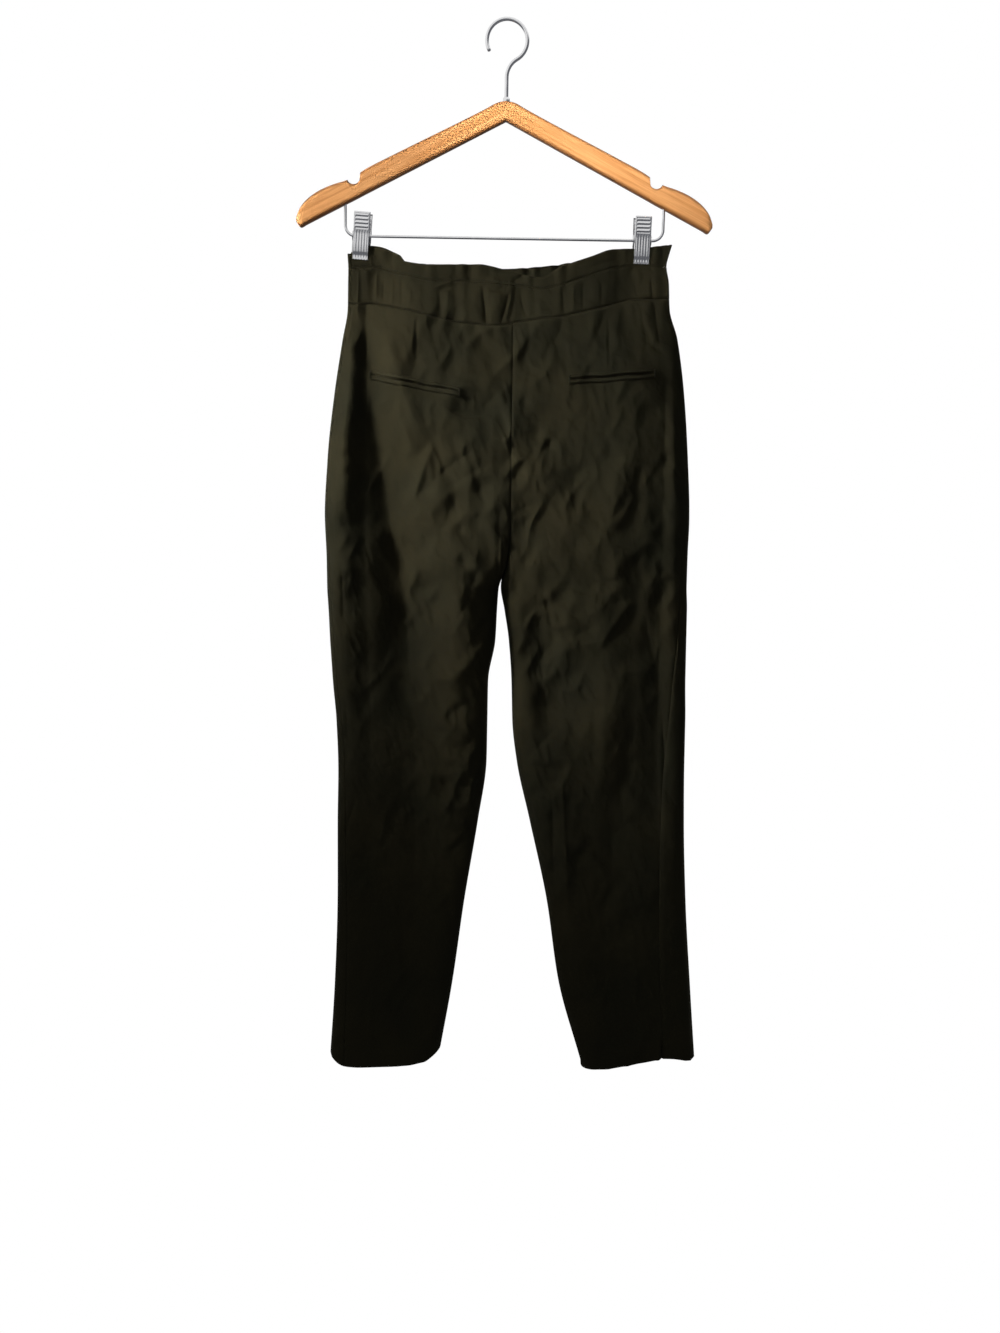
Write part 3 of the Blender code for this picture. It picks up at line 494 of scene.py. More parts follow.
# the same at a cheek's corners, ending where they start
CHEEK_OUTLINE = by_column(
    (6.2, 7.0), (2.0, 6.2), (-2.4, 3.2), (-3.4, 0.0), (-2.2, -3.2), (0.6, -4.6), (5.0, -6.2), (6.2, 7.0)
)
CHEEK_HOLE = 2.0
CHEEK_STEPS = 64
SPRING_TURNS, SPRING_STEPS = 8.0, 22  # steps to a turn
SPRING_RADIUS, SPRING_WIRE, SPRING_LEG = 2.65 * MM, 0.55 * MM, 8.5 * MM

# ---------------------------------------------------------------- reading the tables


def smooth(x, xs, ys):
    """Cubic Hermite pieces through the points, with harmonic-mean slopes that never overshoot."""
    rise = np.diff(ys) / np.diff(xs)
    before, after = rise[:-1], rise[1:]
    both = np.where(before * after > 0, 2 * before * after / (before + after + 1e-30), 0)
    slope = np.concatenate([rise[:1], both, rise[-1:]])
    x = np.clip(x, xs[0], xs[-1])
    i = np.clip(np.searchsorted(xs, x, "right") - 1, 0, len(xs) - 2)
    width = xs[i + 1] - xs[i]
    t = (x - xs[i]) / width
    return (
        (2 * t**3 - 3 * t**2 + 1) * ys[i]
        + (t**3 - 2 * t**2 + t) * width * slope[i]
        + (3 * t**2 - 2 * t**3) * ys[i + 1]
        + (t**3 - t**2) * width * slope[i + 1]
    )


def falling(z, table, column):
    """A table that runs from high z to low z, read at z in metres."""
    return smooth(z / MM, table[0, ::-1], table[column, ::-1])


def section(z, name):
    """One measure of the trousers' section at level z."""
    return falling(z, SECTIONS, COLUMN[name]) * MM


def half_ends(z, leg):
    """x of a half's outer fold and of its inner edge."""
    return section(z, f"{leg}_side"), section(z, f"{leg}_inner")


def half_x(z, leg, q):
    """x, which runs evenly with q from the outer fold to the inner edge."""
    side, inner = half_ends(z, leg)
    return side + (inner - side) * np.abs(q)


def waist_line(x, name, face):
    """The level of a waist line at x: the back's from the table, the front's a plain dip."""
    xs, levels = WAIST[0] * MM, WAIST[LINE[name]] * MM
    if face == "back":
        return smooth(x, xs, levels)
    u = np.clip(2 * (x - xs[0]) / (xs[-1] - xs[0]) - 1, -1, 1)
    return np.interp(x, xs[[0, -1]], levels[[0, -1]]) - FRONT_DIP * (1 - u**2) ** 1.5


def seam_place(z, leg):
    """The side seam's share of the half's width, in from the fold."""
    return falling(z, SIDE_SEAM, 1 if leg == "left" else 2)


# ---------------------------------------------------------------- the cloth's surface


def rounded(t):
    """From 0 to 1 along a quarter of a superellipse."""
    return (1 - (1 - np.clip(t, 0, 1)) ** ROUNDNESS) ** (1 / ROUNDNESS)


def step_up(t):
    """From 0 to 1 as 3 t squared less 2 t cubed."""
    t = np.clip(t, 0, 1)
    return t * t * (3 - 2 * t)


def bell(t):
    """1 at 0, falling away as e to the minus t squared."""
    return np.exp(-(t**2))


def ridge(t):
    """1 at 0 with a narrow rounded top, falling away as e to the minus one and a half times the distance."""
    return np.exp(-1.5 * (np.sqrt(t**2 + 0.06) - math.sqrt(0.06)))


def groove(distance, depth, half_width):
    """A dip along a line: a bell of the distance from it, with depth and half width in mm."""
    return depth * MM * bell(distance / (half_width * MM))


def pinch(x, z):
    """1 under a clip, falling to 0 away from it as a bell sideways and a bell downwards."""
    beyond = np.minimum(
        np.clip(x - CLIPS["left"] - PINCH_HALF_WIDTH, 0, None),
        np.clip(CLIPS["right"] - PINCH_HALF_WIDTH - x, 0, None),
    )
    return bell(beyond / PINCH_SPREAD) * bell(np.clip(PINCH_LEVEL - z, 0, None) / PINCH_DROP)


def under_clip(x, z):
    """1 between a clip's jaws, falling to 0 a little beside and below them."""
    beside = np.minimum(np.abs(x - CLIPS["left"]), np.abs(x - CLIPS["right"])) - HALF_CLIP
    below = CLIP_FOOT - z
    return bell(np.clip(beside, 0, None) / (3 * MM)) * bell(np.clip(below, 0, None) / (4 * MM))


def folds(x, z, face):
    """Depth of the large folds: straight runs between five places, each eased a little at both ends."""
    total = np.zeros(x.shape)
    for rows in FOLDS[face]:
        table = by_column(*rows)
        places = [falling(z, table, k) for k in range(1, 6)]
        depths = [0, *(falling(z, table, k) for k in range(6, 9)), 0]
        for k in range(4):
            t = np.clip((x / MM - places[k]) / (places[k + 1] - places[k]), 0, 1)
            total += (depths[k + 1] - depths[k]) * (0.4 * t + 0.6 * step_up(t))
    return total * MM


def lattice(u, v, rng):
    """Smooth steps between random heights from -1 to 1 on a square lattice of side 1."""
    u, v = u + LATTICE_SIDE / 2, v + LATTICE_SIDE * 0.8
    i, j = u.astype(int), v.astype(int)
    values = rng.uniform(-1, 1, (LATTICE_SIDE, LATTICE_SIDE))
    a, b = step_up(u - i), step_up(v - j)
    low = values[i, j] * (1 - a) + values[i + 1, j] * a
    high = values[i, j + 1] * (1 - a) + values[i + 1, j + 1] * a
    return low * (1 - b) + high * b


def crumple(x, z, face):
    """Sharp-edged crumpling: 1 less twice the size of lattice heights, on turned and warped axes, in three sizes."""
    rng = np.random.default_rng(CRUMPLE_SEED + (face == "front"))
    where = np.full(x.shape, CRUMPLED_EVERYWHERE)
    for cx, cz, rx, rz, height in CRUMPLES[face]:
        where += height * bell((x / MM - cx) / rx) * bell((z / MM - cz) / rz)
    total = np.zeros(x.shape)
    for size, height, turn in CRUMPLE_SIZES:
        c, s = math.cos(turn), math.sin(turn)
        u, v = (x * c + z * s) / MM / size, (z * c - x * s) / MM / (size * 1.7)
        u = u + 0.45 * lattice(u * 0.7, v * 0.7, rng)
        ridges = 1 - 2 * np.sqrt(lattice(u, v, rng) ** 2 + 0.01)
        total += height * ridges
    return total * where * MM


def creases(x, z, face):
    """Depth of the creases: a bell across a bowed line, with a lip on one side, fading in and out along it."""
    total = np.zeros(x.shape)
    for x0, z0, x1, z1, width, depth, lip, bow in CREASES[face]:
        length = math.hypot(x1 - x0, z1 - z0)
        ax, az = (x1 - x0) / length, (z1 - z0) / length
        px, pz = x / MM - x0, z / MM - z0
        t = (px * ax + pz * az) / length
        off = pz * ax - px * az - bow * 4 * t * (1 - t)
        grow = step_up((t + 0.08) / 0.4) * step_up((1.08 - t) / 0.4)
        half = width * (0.65 + 0.5 * np.clip(t, 0, 1))
        total += depth * grow * (ridge(off / half) - lip * bell(off / half + 2.0))
    return total * MM


def uneven(x, z, face):
    """A slight waviness: lattice heights in two sizes."""
    rng = np.random.default_rng(UNEVEN_SEED + (face == "front"))
    return sum(height * lattice(x / size, z / (size * 1.4), rng) for size, height in UNEVEN)


def small_relief(x, z, face):
    """Depth of the creases and the waviness, less the crumpling, which stands out."""
    return creases(x, z, face) + uneven(x, z, face) - crumple(x, z, face)


def gathers(x):
    """Three sines along the waist, taller and lower by a lattice's smooth steps."""
    waves = sum(share * np.sin(2 * math.pi * x / (length * MM) + phase) for length, phase, share in GATHERS)
    return waves * (0.6 + 0.9 * lattice(x / GATHERS_VARY, 0 * x, np.random.default_rng(UNEVEN_SEED)))


def openness(z):
    """1 where the two halves are one tube, falling to 0 at the crotch."""
    return np.clip((z - CROTCH) / CROTCH_RISE, 0, 1) ** 0.42


def cloth(leg, q, z, ripple=0.0, dip=0.0):
    """Points of one half's cloth. q is 0 on the outer fold, 1 inside on the back, -1 inside on the front.

    x runs evenly with q. The stand-off y is the section's depth rounded off at the fold and at the
    inseam, less the folds, creases, waviness and any dip, and is held thin under the clips.
    """
    strength = bpy.context.scene.trousers_cloth.crease_depth
    across = np.abs(q)
    x = half_x(z, leg, q)
    back = q >= 0
    reach = np.where(back, section(z, "back"), section(z, "front"))
    opening = openness(z)
    inside = opening + (1 - opening) * rounded((1 - across) / INSEAM_CORNER)
    form = rounded(across / CORNER) * inside
    large = np.where(back, folds(x, z, "back"), folds(x, z, "front"))
    fine = np.where(back, small_relief(x, z, "back"), small_relief(x, z, "front"))
    y = form * (reach - large)
    y += (np.minimum(y, PINCHED) - y) * pinch(x, z)
    relief = ripple * gathers(x) * np.where(back, 0.4, 1) - strength * fine * np.clip(form * 1.6, 0, 1)
    y = np.maximum(y + relief * (1 - under_clip(x, z)) - dip, GAP / 2)
    return np.stack([x, np.where(back, -y, y), z], axis=-1)


def cloth_at(leg, face, x, z, dip=0.0):
    """Points of one half's cloth at x and z, on its back or on its front."""
    side, inner = half_ends(z, leg)
    q = (x - side) / (inner - side)
    return cloth(leg, q if face == "back" else -q, z, dip=dip)


# ---------------------------------------------------------------- making meshes


def grid_faces(rows, columns, closed=False):
    """Quads of a grid of points, and with closed also those that join its last column to its first."""
    index = np.arange(rows * columns).reshape(rows, columns)
    if closed:
        index = np.concatenate([index, index[:, :1]], axis=1)
    return np.stack([index[:-1, :-1], index[:-1, 1:], index[1:, 1:], index[1:, :-1]], axis=-1).reshape(-1, 4)


def barrel_faces(rings, sides):
    """Faces of a bar made of rings, as lists, with a many-sided face over each end."""
    last = (rings - 1) * sides
    ends = [list(range(sides - 1, -1, -1)), list(range(last, last + sides))]
    return [list(face) for face in grid_faces(rings, sides, closed=True)] + ends


def new_piece(name, points, faces, look, uv=None, layers=None, sharp=None):
    """A mesh piece at the origin. uv and layers hold one value for each point, and sharp is in degrees."""
    mesh = bpy.data.meshes.new(name)
    points = points.reshape(-1, 3)
    mesh.vertices.add(len(points))
    mesh.vertices.foreach_set("co", points.astype(np.float32).ravel())
    sizes = np.array([len(face) for face in faces])
    corners = np.concatenate(faces)
    mesh.loops.add(len(corners))
    mesh.loops.foreach_set("vertex_index", corners.astype(np.int32))
    mesh.polygons.add(len(sizes))
    mesh.polygons.foreach_set("loop_start", np.concatenate([[0], np.cumsum(sizes)[:-1]]).astype(np.int32))
    mesh.update(calc_edges=True)
    if uv is not None:
        layer = mesh.uv_layers.new(name="weave")
        layer.data.foreach_set("uv", uv.reshape(-1, 2)[corners].astype(np.float32).ravel())
    for key, values in (layers or {}).items():
        attribute = mesh.attributes.new(key, "FLOAT", "POINT")
        attribute.data.foreach_set("value", np.broadcast_to(values, points.shape[:1]).astype(np.float32))
    mesh.validate()
    mesh.shade_smooth()
    if sharp is not None:
        mesh.set_sharp_from_angle(angle=math.radians(sharp))
    piece = bpy.data.objects.new(name, mesh)
    bpy.context.scene.collection.objects.link(piece)
    mesh.materials.append(look)
    return piece


def add_wall(piece, thickness):
    """Gives a sheet its thickness, inwards from the surface that shows."""
    wall = piece.modifiers.new("cloth thickness", "SOLIDIFY")
    wall.thickness = thickness
    wall.offset = -1
    wall.use_rim = True
    wall.use_quality_normals = True


def arc_lengths(points):
    """Distance run along each row of a grid, from its first point."""
    steps = np.linalg.norm(np.diff(points, axis=1), axis=-1)
    return np.concatenate([np.zeros((len(points), 1)), np.cumsum(steps, axis=1)], axis=1)


def cloth_piece(name, points, face, wall, edge, nodes):
    """A sheet of cloth on a grid of points, with its weave map and how near each point is to a sewn edge."""
    rows, columns = points.shape[:2]
    run = arc_lengths(points)
    uv = np.stack([run - run.mean(axis=1, keepdims=True) + points[..., :1].mean(), points[..., 2]], axis=-1)
    faces = grid_faces(rows, columns)
    middle = points[rows // 2, columns // 2 - 1 : columns // 2 + 1]
    below = points[rows // 2 + 1, columns // 2]
    normal = np.cross(middle[1] - middle[0], below - middle[1])
    if (normal[1] < 0) != (face == "back"):
        faces = faces[:, ::-1]
    piece = new_piece(name, points, faces, cloth_look(), uv=uv, layers={"sewn_edge": edge.ravel()})
    add_wall(piece, wall)
    return settle(piece, "cloth", *nodes)


def settle(piece, slot, *nodes):
    """Makes a piece ride with the frame and hides the frame's nodes that it stands for; its slot is not used."""
    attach(piece, "root")
    if nodes:
        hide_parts(*nodes)
    return piece


def outward(piece):
    """Turns a closed shape's faces to point outwards, by the sign of its volume."""
    mesh = piece.data
    points = np.empty(len(mesh.vertices) * 3, np.float32)
    mesh.vertices.foreach_get("co", points)
    points = points.reshape(-1, 3)
    mesh.calc_loop_triangles()
    corners = np.empty(len(mesh.loop_triangles) * 3, np.int32)
    mesh.loop_triangles.foreach_get("vertices", corners)
    a, b, c = (points[corners.reshape(-1, 3)[:, i]] for i in range(3))
    if np.einsum("ij,ij->", a, np.cross(b, c)) < 0:
        mesh.flip_normals()
    return piece


def solid_piece(name, shape, look, slot, *nodes, **more):
    """A closed piece from its points and faces, turned outwards and settled."""
    return settle(outward(new_piece(name, *shape, look, **more)), slot, *nodes)


def tube(path, radius, sides):
    """Rings of a round bar carried along a path in numpy: points and faces, closed at both ends.

    Each ring lies across the path's direction, turned from one fixed direction that is the same for every ring,
    and the ends shrink to a point as half an ellipsoid.
    """
    ahead = np.gradient(path, axis=0)
    ahead /= np.linalg.norm(ahead, axis=1, keepdims=True)
    angles = np.linspace(0, math.pi / 2, 5)[:-1]
    first = path[0] - ahead[0] * radius * 0.6 * np.cos(angles)[:, None]
    last = path[-1] + ahead[-1] * radius * 0.6 * np.sin(math.pi / 2 - angles[::-1])[:, None]
    growing = radius * np.maximum(np.sin(angles), 0.05)
    radii = np.concatenate([growing, np.full(len(path) - 2, radius), growing[::-1]])
    path = np.concatenate([first, path[1:-1], last])
    ahead = np.concatenate([np.repeat(ahead[:1], 4, 0), ahead[1:-1], np.repeat(ahead[-1:], 4, 0)])
    start = np.array((0, 1, 0)) if abs(ahead[0][1]) < 0.9 else np.array((1, 0, 0))
    side = np.cross(ahead, np.broadcast_to(start, ahead.shape))
    side /= np.linalg.norm(side, axis=1, keepdims=True)
    other = np.cross(ahead, side)
    turn = np.linspace(0, 2 * math.pi, sides, endpoint=False)[None, :, None]
    rings = path[:, None] + radii[:, None, None] * (np.cos(turn) * side[:, None] + np.sin(turn) * other[:, None])
    return rings.reshape(-1, 3), barrel_faces(len(path), sides)


def joined(shapes):
    """Several (points, faces) as one."""
    points, faces, count = [], [], 0
    for part_points, part_faces in shapes:
        points.append(part_points.reshape(-1, 3))
        faces += [[int(i) + count for i in face] for face in part_faces]
        count += len(points[-1])
    return np.concatenate(points), faces


def tilted(points):
    """Turned with the hanger, about the hook's inner top."""
    c, s = math.cos(TILT), math.sin(TILT)
    x, y, z = points[..., 0], points[..., 1], points[..., 2]
    return np.stack([x * c + z * s, y, z * c - x * s], axis=-1)


# ---------------------------------------------------------------- materials


class Value:
    """A number that varies over a surface. Python's arithmetic on it adds Math nodes."""

    def __init__(self, shader, link):
        self.shader, self.link = shader, link

    def math(self, operation, *values):
        return self.shader.value(self.shader.node("ShaderNodeMath", {"operation": operation}, dict(enumerate(values))))

    def __add__(self, other):
        return self.math("ADD", self, other)

    def __sub__(self, other):
        return self.math("SUBTRACT", self, other)

    def __rsub__(self, other):
        return self.math("SUBTRACT", other, self)

    def __mul__(self, other):
        return self.math("MULTIPLY", self, other)

    __radd__ = __add__
    __rmul__ = __mul__

    def sine(self):
        return self.math("SINE", self)

    def between(self, low, high):
        """0 below low, 1 above high, and a straight run between them, or the other way round."""
        inputs = {"Value": self, "From Min": low, "From Max": high}
        return self.shader.value(self.shader.node("ShaderNodeMapRange", {"clamp": True}, inputs))


class Shader:
    """A material or world being put together from nodes."""

    def __init__(self, holder):
        holder.use_nodes = True
        self.tree = holder.node_tree
        self.tree.nodes.clear()

    def node(self, kind, settings=None, inputs=None):
        """A node of that type, with its settings first and then its sockets' values or links."""
        made = self.tree.nodes.new(kind)
        for key, value in (settings or {}).items():
            setattr(made, key, value)
        for key, value in (inputs or {}).items():
            socket = made.inputs[key]
            if isinstance(value, Value):
                value = value.link
            if isinstance(value, bpy.types.NodeSocket):
                self.tree.links.new(value, socket)
            elif hasattr(socket.default_value, "__len__") and len(socket.default_value) == 4 and len(value) == 3:
                socket.default_value = (*value, 1)
            else:
                socket.default_value = value
        return made

    def value(self, node, output=0):
        """One of a node's outputs, for sums."""
        return Value(self, node.outputs[output])

    def axes(self, where):
        """x, y and z of a vector."""
        parts = self.node("ShaderNodeSeparateXYZ", inputs={"Vector": where})
        return [self.value(parts, output) for output in range(3)]

    def layer(self, name):
        """A piece's own number at each point."""
        return self.value(self.node("ShaderNodeAttribute", {"attribute_name": name}), 2)

    def noise(self, where, scale, detail=2.0, distortion=0.0):
        """Cloudy noise, mostly near 0.5."""
        inputs = {"Vector": where, "Scale": scale, "Detail": detail, "Distortion": distortion}
        return self.value(self.node("ShaderNodeTexNoise", inputs=inputs))

    def bump(self, height, distance, strength, **normal):
        """A Bump node's normal, laid over another one where Normal is given."""
        inputs = {"Height": height, "Distance": distance, "Strength": strength, **normal}
        return self.node("ShaderNodeBump", inputs=inputs).outputs[0]

    def stretched(self, where, scale, rotation=(0, 0, 0)):
        """A vector scaled along each axis and turned."""
        made = self.node("ShaderNodeMapping", inputs={"Vector": where, "Scale": scale, "Rotation": rotation})
        return made.outputs[0]

    def mix(self, factor, first, second):
        """The first colour at 0 and the second at 1."""
        return self.node("ShaderNodeMix", {"data_type": "RGBA"}, {0: factor, 6: first, 7: second}).outputs[2]

    def surface(self, settings):
        """The material's one surface, a Principled BSDF."""
        shader = self.node("ShaderNodeBsdfPrincipled", inputs=settings)
        self.node("ShaderNodeOutputMaterial", inputs={"Surface": shader.outputs[0]})


LOOKS = {}


def look_named(name, build):
    """The material of that name, built the first time that it is asked for."""
    if name not in LOOKS:
        LOOKS[name] = bpy.data.materials.new(name)
        build(Shader(LOOKS[name]))
    return LOOKS[name]


def shade(colour, factor, *tint):
    """A colour made lighter or darker, and with each channel scaled by the tint if one is given."""
    return tuple(channel * part * factor for channel, part in zip(colour, tint or (1, 1, 1)))


def build_twill(shader):
    """Dark twill: diagonal ribs and slubs in the weave map, cloudy dye, edges rubbed slightly paler."""
    cloth_values = bpy.context.scene.trousers_cloth
    colour = tuple(cloth_values.colour)
    place = shader.node("ShaderNodeTexCoord")
    weave, spot = place.outputs["UV"], place.outputs["Object"]
    u, v, _ = shader.axes(weave)
    turn = 2 * math.pi / cloth_values.twill_pitch
    ribs = ((u * 0.8 + v * 0.6) * turn).sine()
    threads = ((u * 0.6 - v * 0.8) * (turn * 1.7)).sine()
    slubs = shader.noise(shader.stretched(weave, (1500, 90, 1)), 1.0, 2.0)
    clouds = shader.noise(spot, 12.0, 3.0)
    specks = shader.noise(spot, 420.0, 1.0)
    wear_and_shade_mask = shader.layer("sewn_edge")
    dyed = shader.mix(clouds.between(0.34, 0.66), shade(colour, 0.82), shade(colour, 1.16, 1.1, 0.98, 0.86))
    threaded = shader.mix(slubs.between(0.25, 0.85) * 0.4 + ribs * 0.07 + 0.1, dyed, shade(colour, 1.35))
    rubbed = shader.mix(wear_and_shade_mask * specks.between(0.3, 0.75) * 0.3, threaded, shade(colour, 1.4))
    height = ribs * 0.5 + threads * 0.2 + slubs * 0.9 + specks * 0.5
    # Linen keeps small sharp creases: the folded-back halves of two cloudy patterns.
    large = shader.noise(shader.stretched(spot, (1, 1, 0.7)), 19.0, 3.0).between(0.47, 0.62)
    small = shader.noise(shader.stretched(spot, (1, 1, 0.8)), 55.0, 2.0).between(0.42, 0.66)
    creased = shader.bump(large + small * 0.4, 0.0018, 0.65)
    shader.surface({
        "Base Color": rubbed,
        "Roughness": slubs.between(0, 1) * 0.1 + 0.78,
        "Specular IOR Level": 0.02,
        "Sheen Weight": 0.005,
        "Sheen Roughness": 0.45,
        "Sheen Tint": (0.9, 0.85, 0.7),
        "Normal": shader.bump(height, 0.00009, 0.6, Normal=creased),
    })


def build_thread(shader):
    """Sewing thread: two plies turning round it, a shade off the cloth."""
    colour = tuple(bpy.context.scene.trousers_cloth.colour)
    spot = shader.node("ShaderNodeTexCoord").outputs["Object"]
    turned = shader.stretched(spot, (1, 1, 1), (0.3, 0.4, 0.6))
    wave = shader.node("ShaderNodeTexWave", inputs={"Vector": turned, "Scale": 900.0, "Distortion": 1.0})
    ply = shader.value(wave, 1)
    shader.surface({
        "Base Color": shader.mix(ply, shade(colour, 0.7), shade(colour, 1.15)),
        "Roughness": 0.7,
        "Specular IOR Level": 0.05,
        "Normal": shader.bump(ply, 0.00005, 0.5),
    })


def build_wood(shader):
    """Varnished pale hardwood: long grain lines and short pores in the piece's own map, run along each arm, with
    painted shade darkening its upper and lower edges.
    """
    colour = tuple(bpy.context.scene.trousers_hanger.wood_colour)
    run = shader.node("ShaderNodeTexCoord").outputs["UV"]
    bands = shader.noise(shader.stretched(run, (9, 210, 1)), 1.0, 5.0, 0.7)
    lines = shader.noise(shader.stretched(run, (26, 900, 1)), 1.0, 3.0, 0.3)
    pores = shader.noise(shader.stretched(run, (170, 2600, 1)), 1.0, 2.0)
    patches = shader.noise(shader.stretched(run, (6, 22, 1)), 1.0, 2.0)
    wear_and_shade_mask = shader.layer("sewn_edge")
    ground = shader.mix(patches.between(0.3, 0.7), shade(colour, 0.86), shade(colour, 1.14))
    grained = shader.mix(bands.between(0.42, 0.62) * 0.85, ground, shade(colour, 0.85, 0.92, 0.8, 0.66))
    lined = shader.mix(lines.between(0.48, 0.68) * 0.5, grained, shade(colour, 0.8, 0.8, 0.66, 0.5))
    pored = shader.mix(pores.between(0.62, 0.75) * 0.5, lined, shade(colour, 0.55, 1.0, 0.75, 0.55))
    # Painted shade: the yoke's upper and lower edges are darkened where they turn away from the light.
    edged = shader.mix(wear_and_shade_mask * 0.85, pored, shade(colour, 0.42, 0.8, 0.62, 0.5))
    height = pores.between(0.5, 0.8) * -0.3 + lines * 0.3
    shader.surface({
        "Base Color": edged,
        "Roughness": lines * 0.12 + 0.36,
        "Specular IOR Level": 0.25,
        "Coat Weight": 0.06,
        "Coat Roughness": 0.25,
        "Normal": shader.bump(height, 0.0001, 0.06),
    })


def metal_builder(tone, smoothness, scratch):
    """Bright plating: cloudy polish with fine scratches along z."""

    def build(shader):
        spot = shader.node("ShaderNodeTexCoord").outputs["Object"]
        clouds = shader.noise(spot, 90.0, 3.0)
        scratches = shader.noise(shader.stretched(spot, (2500, 2500, 120), (0.2, 0.1, 0.4)), 1.0, 2.0)
        shader.surface({
            "Base Color": shader.mix(clouds.between(0.35, 0.7), shade(tone, 0.9), tone),
            "Metallic": 1.0,
            "Roughness": clouds.between(0.3, 0.8) * 0.12 + scratches * 0.08 + smoothness,
            "Normal": shader.bump(scratches, 0.00002, scratch),
        })

    return build


def cloth_look():
    """The twill of all the cloth."""
    return look_named("dark_twill", build_twill)


def metal_look(kind):
    """The brighter plating of the wires, or that of the pressed clips."""
    tone = tuple(bpy.context.scene.trousers_hanger.metal_colour)
    if kind == "wire":
        return look_named("plated_wire", metal_builder(tone, 0.1, 0.3))
    return look_named("pressed_clip", metal_builder(shade(tone, 0.92), 0.16, 0.6))


# ---------------------------------------------------------------- leg panels


def spread_columns(count, crowding):
    """Even steps from 0 to 1, drawn closer at both ends by a sine."""
    s = np.linspace(0, 1, count)
    return s - crowding * np.sin(2 * math.pi * s) / (2 * math.pi)


def panel_levels(upper, lower):
    """Levels of a panel's rows, even above the calf and even below it."""
    return np.concatenate([np.linspace(TOP, CALF, upper, endpoint=False), np.linspace(CALF, BOTTOM, lower)])


def places_across(face, seam, share):
    """q along a row, from the side seam to the inner edge. A front first runs round the fold from the back."""
    if face == "back":
        return seam + (1 - seam) * share
    round_fold = np.linspace(1, 0, ROUND_FOLD + 1)[None, :-1] * seam
    return np.concatenate([round_fold, -share * np.ones_like(seam)], axis=1)


def level_ahead(points):
    """Unit steps from a grid's first column towards its second, held level."""
    ahead = points[:, 1] - points[:, 0]
    ahead[:, 2] = 0
    return ahead / np.linalg.norm(ahead, axis=-1, keepdims=True)


def leg_grid(leg, face, columns, upper, lower):
    """A panel's points and how near each is to a sewn edge.

    Rows run from the waist seam to the hem and bend with both. Columns run from the side seam to
    the inner edge. Along every sewn edge the surface dips as a bell, so that a seam shows as a groove.
    """
    nominal = panel_levels(upper, lower)[:, None]
    seam = seam_place(nominal, leg)
    q = places_across(face, seam, spread_columns(columns, 0.5)[None])
    nominal = np.broadcast_to(nominal, q.shape)
    flat_x = half_x(nominal, leg, q)
    shares, back_hem, front_hem = HEM[leg]
    hem = np.where(q >= 0, smooth(np.abs(q), shares, back_hem), smooth(np.abs(q), shares, front_hem)) * MM
    z = (
        nominal
        + (waist_line(flat_x, "seam", face) - GAP / 2 - TOP) * np.clip(1 - (TOP - nominal) / WAIST_REACH, 0, 1)
        + (hem - BOTTOM) * np.clip(1 - (nominal - BOTTOM) / HEM_REACH, 0, 1)
    )
    from_top = waist_line(flat_x, "seam", face) - z
    from_hem = z - hem
    side, inner = half_ends(z, leg)
    width = np.abs(inner - side)
    from_side = np.abs(q - seam) * width
    from_inner = (1 - np.abs(q)) * width
    in_torso = step_up((z - CROTCH) / (20 * MM))
    # Small tucks where the gathered waist is sewn on.
    tucks = (
        0.35 * MM * np.sin(flat_x / (3.1 * MM)) * bell(from_top / (9 * MM))
        + 0.4 * MM * gathers(flat_x) * bell(from_top / (34 * MM))
    )
    dip = (
        groove(from_top, 1.1, 1.7)
        + groove(from_inner, 0.9, 1.6) * in_torso
        + groove(from_hem - HEM_TURN, 0.5, 1.3)
        - 0.35 * MM * step_up((HEM_TURN - from_hem) / (2 * MM))
        + groove(from_hem, 0.6, 1.0)
        + tucks
    )
    points = cloth(leg, q, z, dip=dip)
    # The side seam stands open a little, more below the slit's top, and the back laps over it.
    opening = GAP + SLIT_OPENING * np.clip((SLIT_TOP - z[:, 0]) / (SLIT_TOP - BOTTOM), 0, 1)
    near = bell(from_side / (3 * MM))[..., None]
    sign = 1 if face == "back" else -1
    points += level_ahead(points)[:, None] * (opening / 2)[:, None, None] * near * sign
    if face == "back":
        points[..., 1] += groove(from_side, 0.3, 1.4)
    centre = (section(z, "left_inner") + section(z, "right_inner")) / 2
    keep_off, sign = (np.minimum, -1) if leg == "left" else (np.maximum, 1)
    points[..., 0] = np.where(z > CROTCH, keep_off(points[..., 0], centre + sign * GAP / 2), points[..., 0])
    edge = np.maximum.reduce([
        bell(from_top / (3 * MM)),
        bell(from_side / RUBBED),
        bell(from_inner / RUBBED),
        bell(from_hem / RUBBED),
        0.5 * bell((from_hem - HEM_TURN) / (2 * MM)),
    ])
    return points, edge


def make_panels(face):
    """The left and the right leg's panel of one face, from the waist seam to the hem."""
    sizes, flat, area = PANELS[face]
    for leg in ("left", "right"):
        points, edge = leg_grid(leg, face, *sizes)
        name = f"{face}_{leg}"
        panel = cloth_piece(f"{name}_panel", points, face, PANEL_WALL, edge, [name])


# ---------------------------------------------------------------- waist


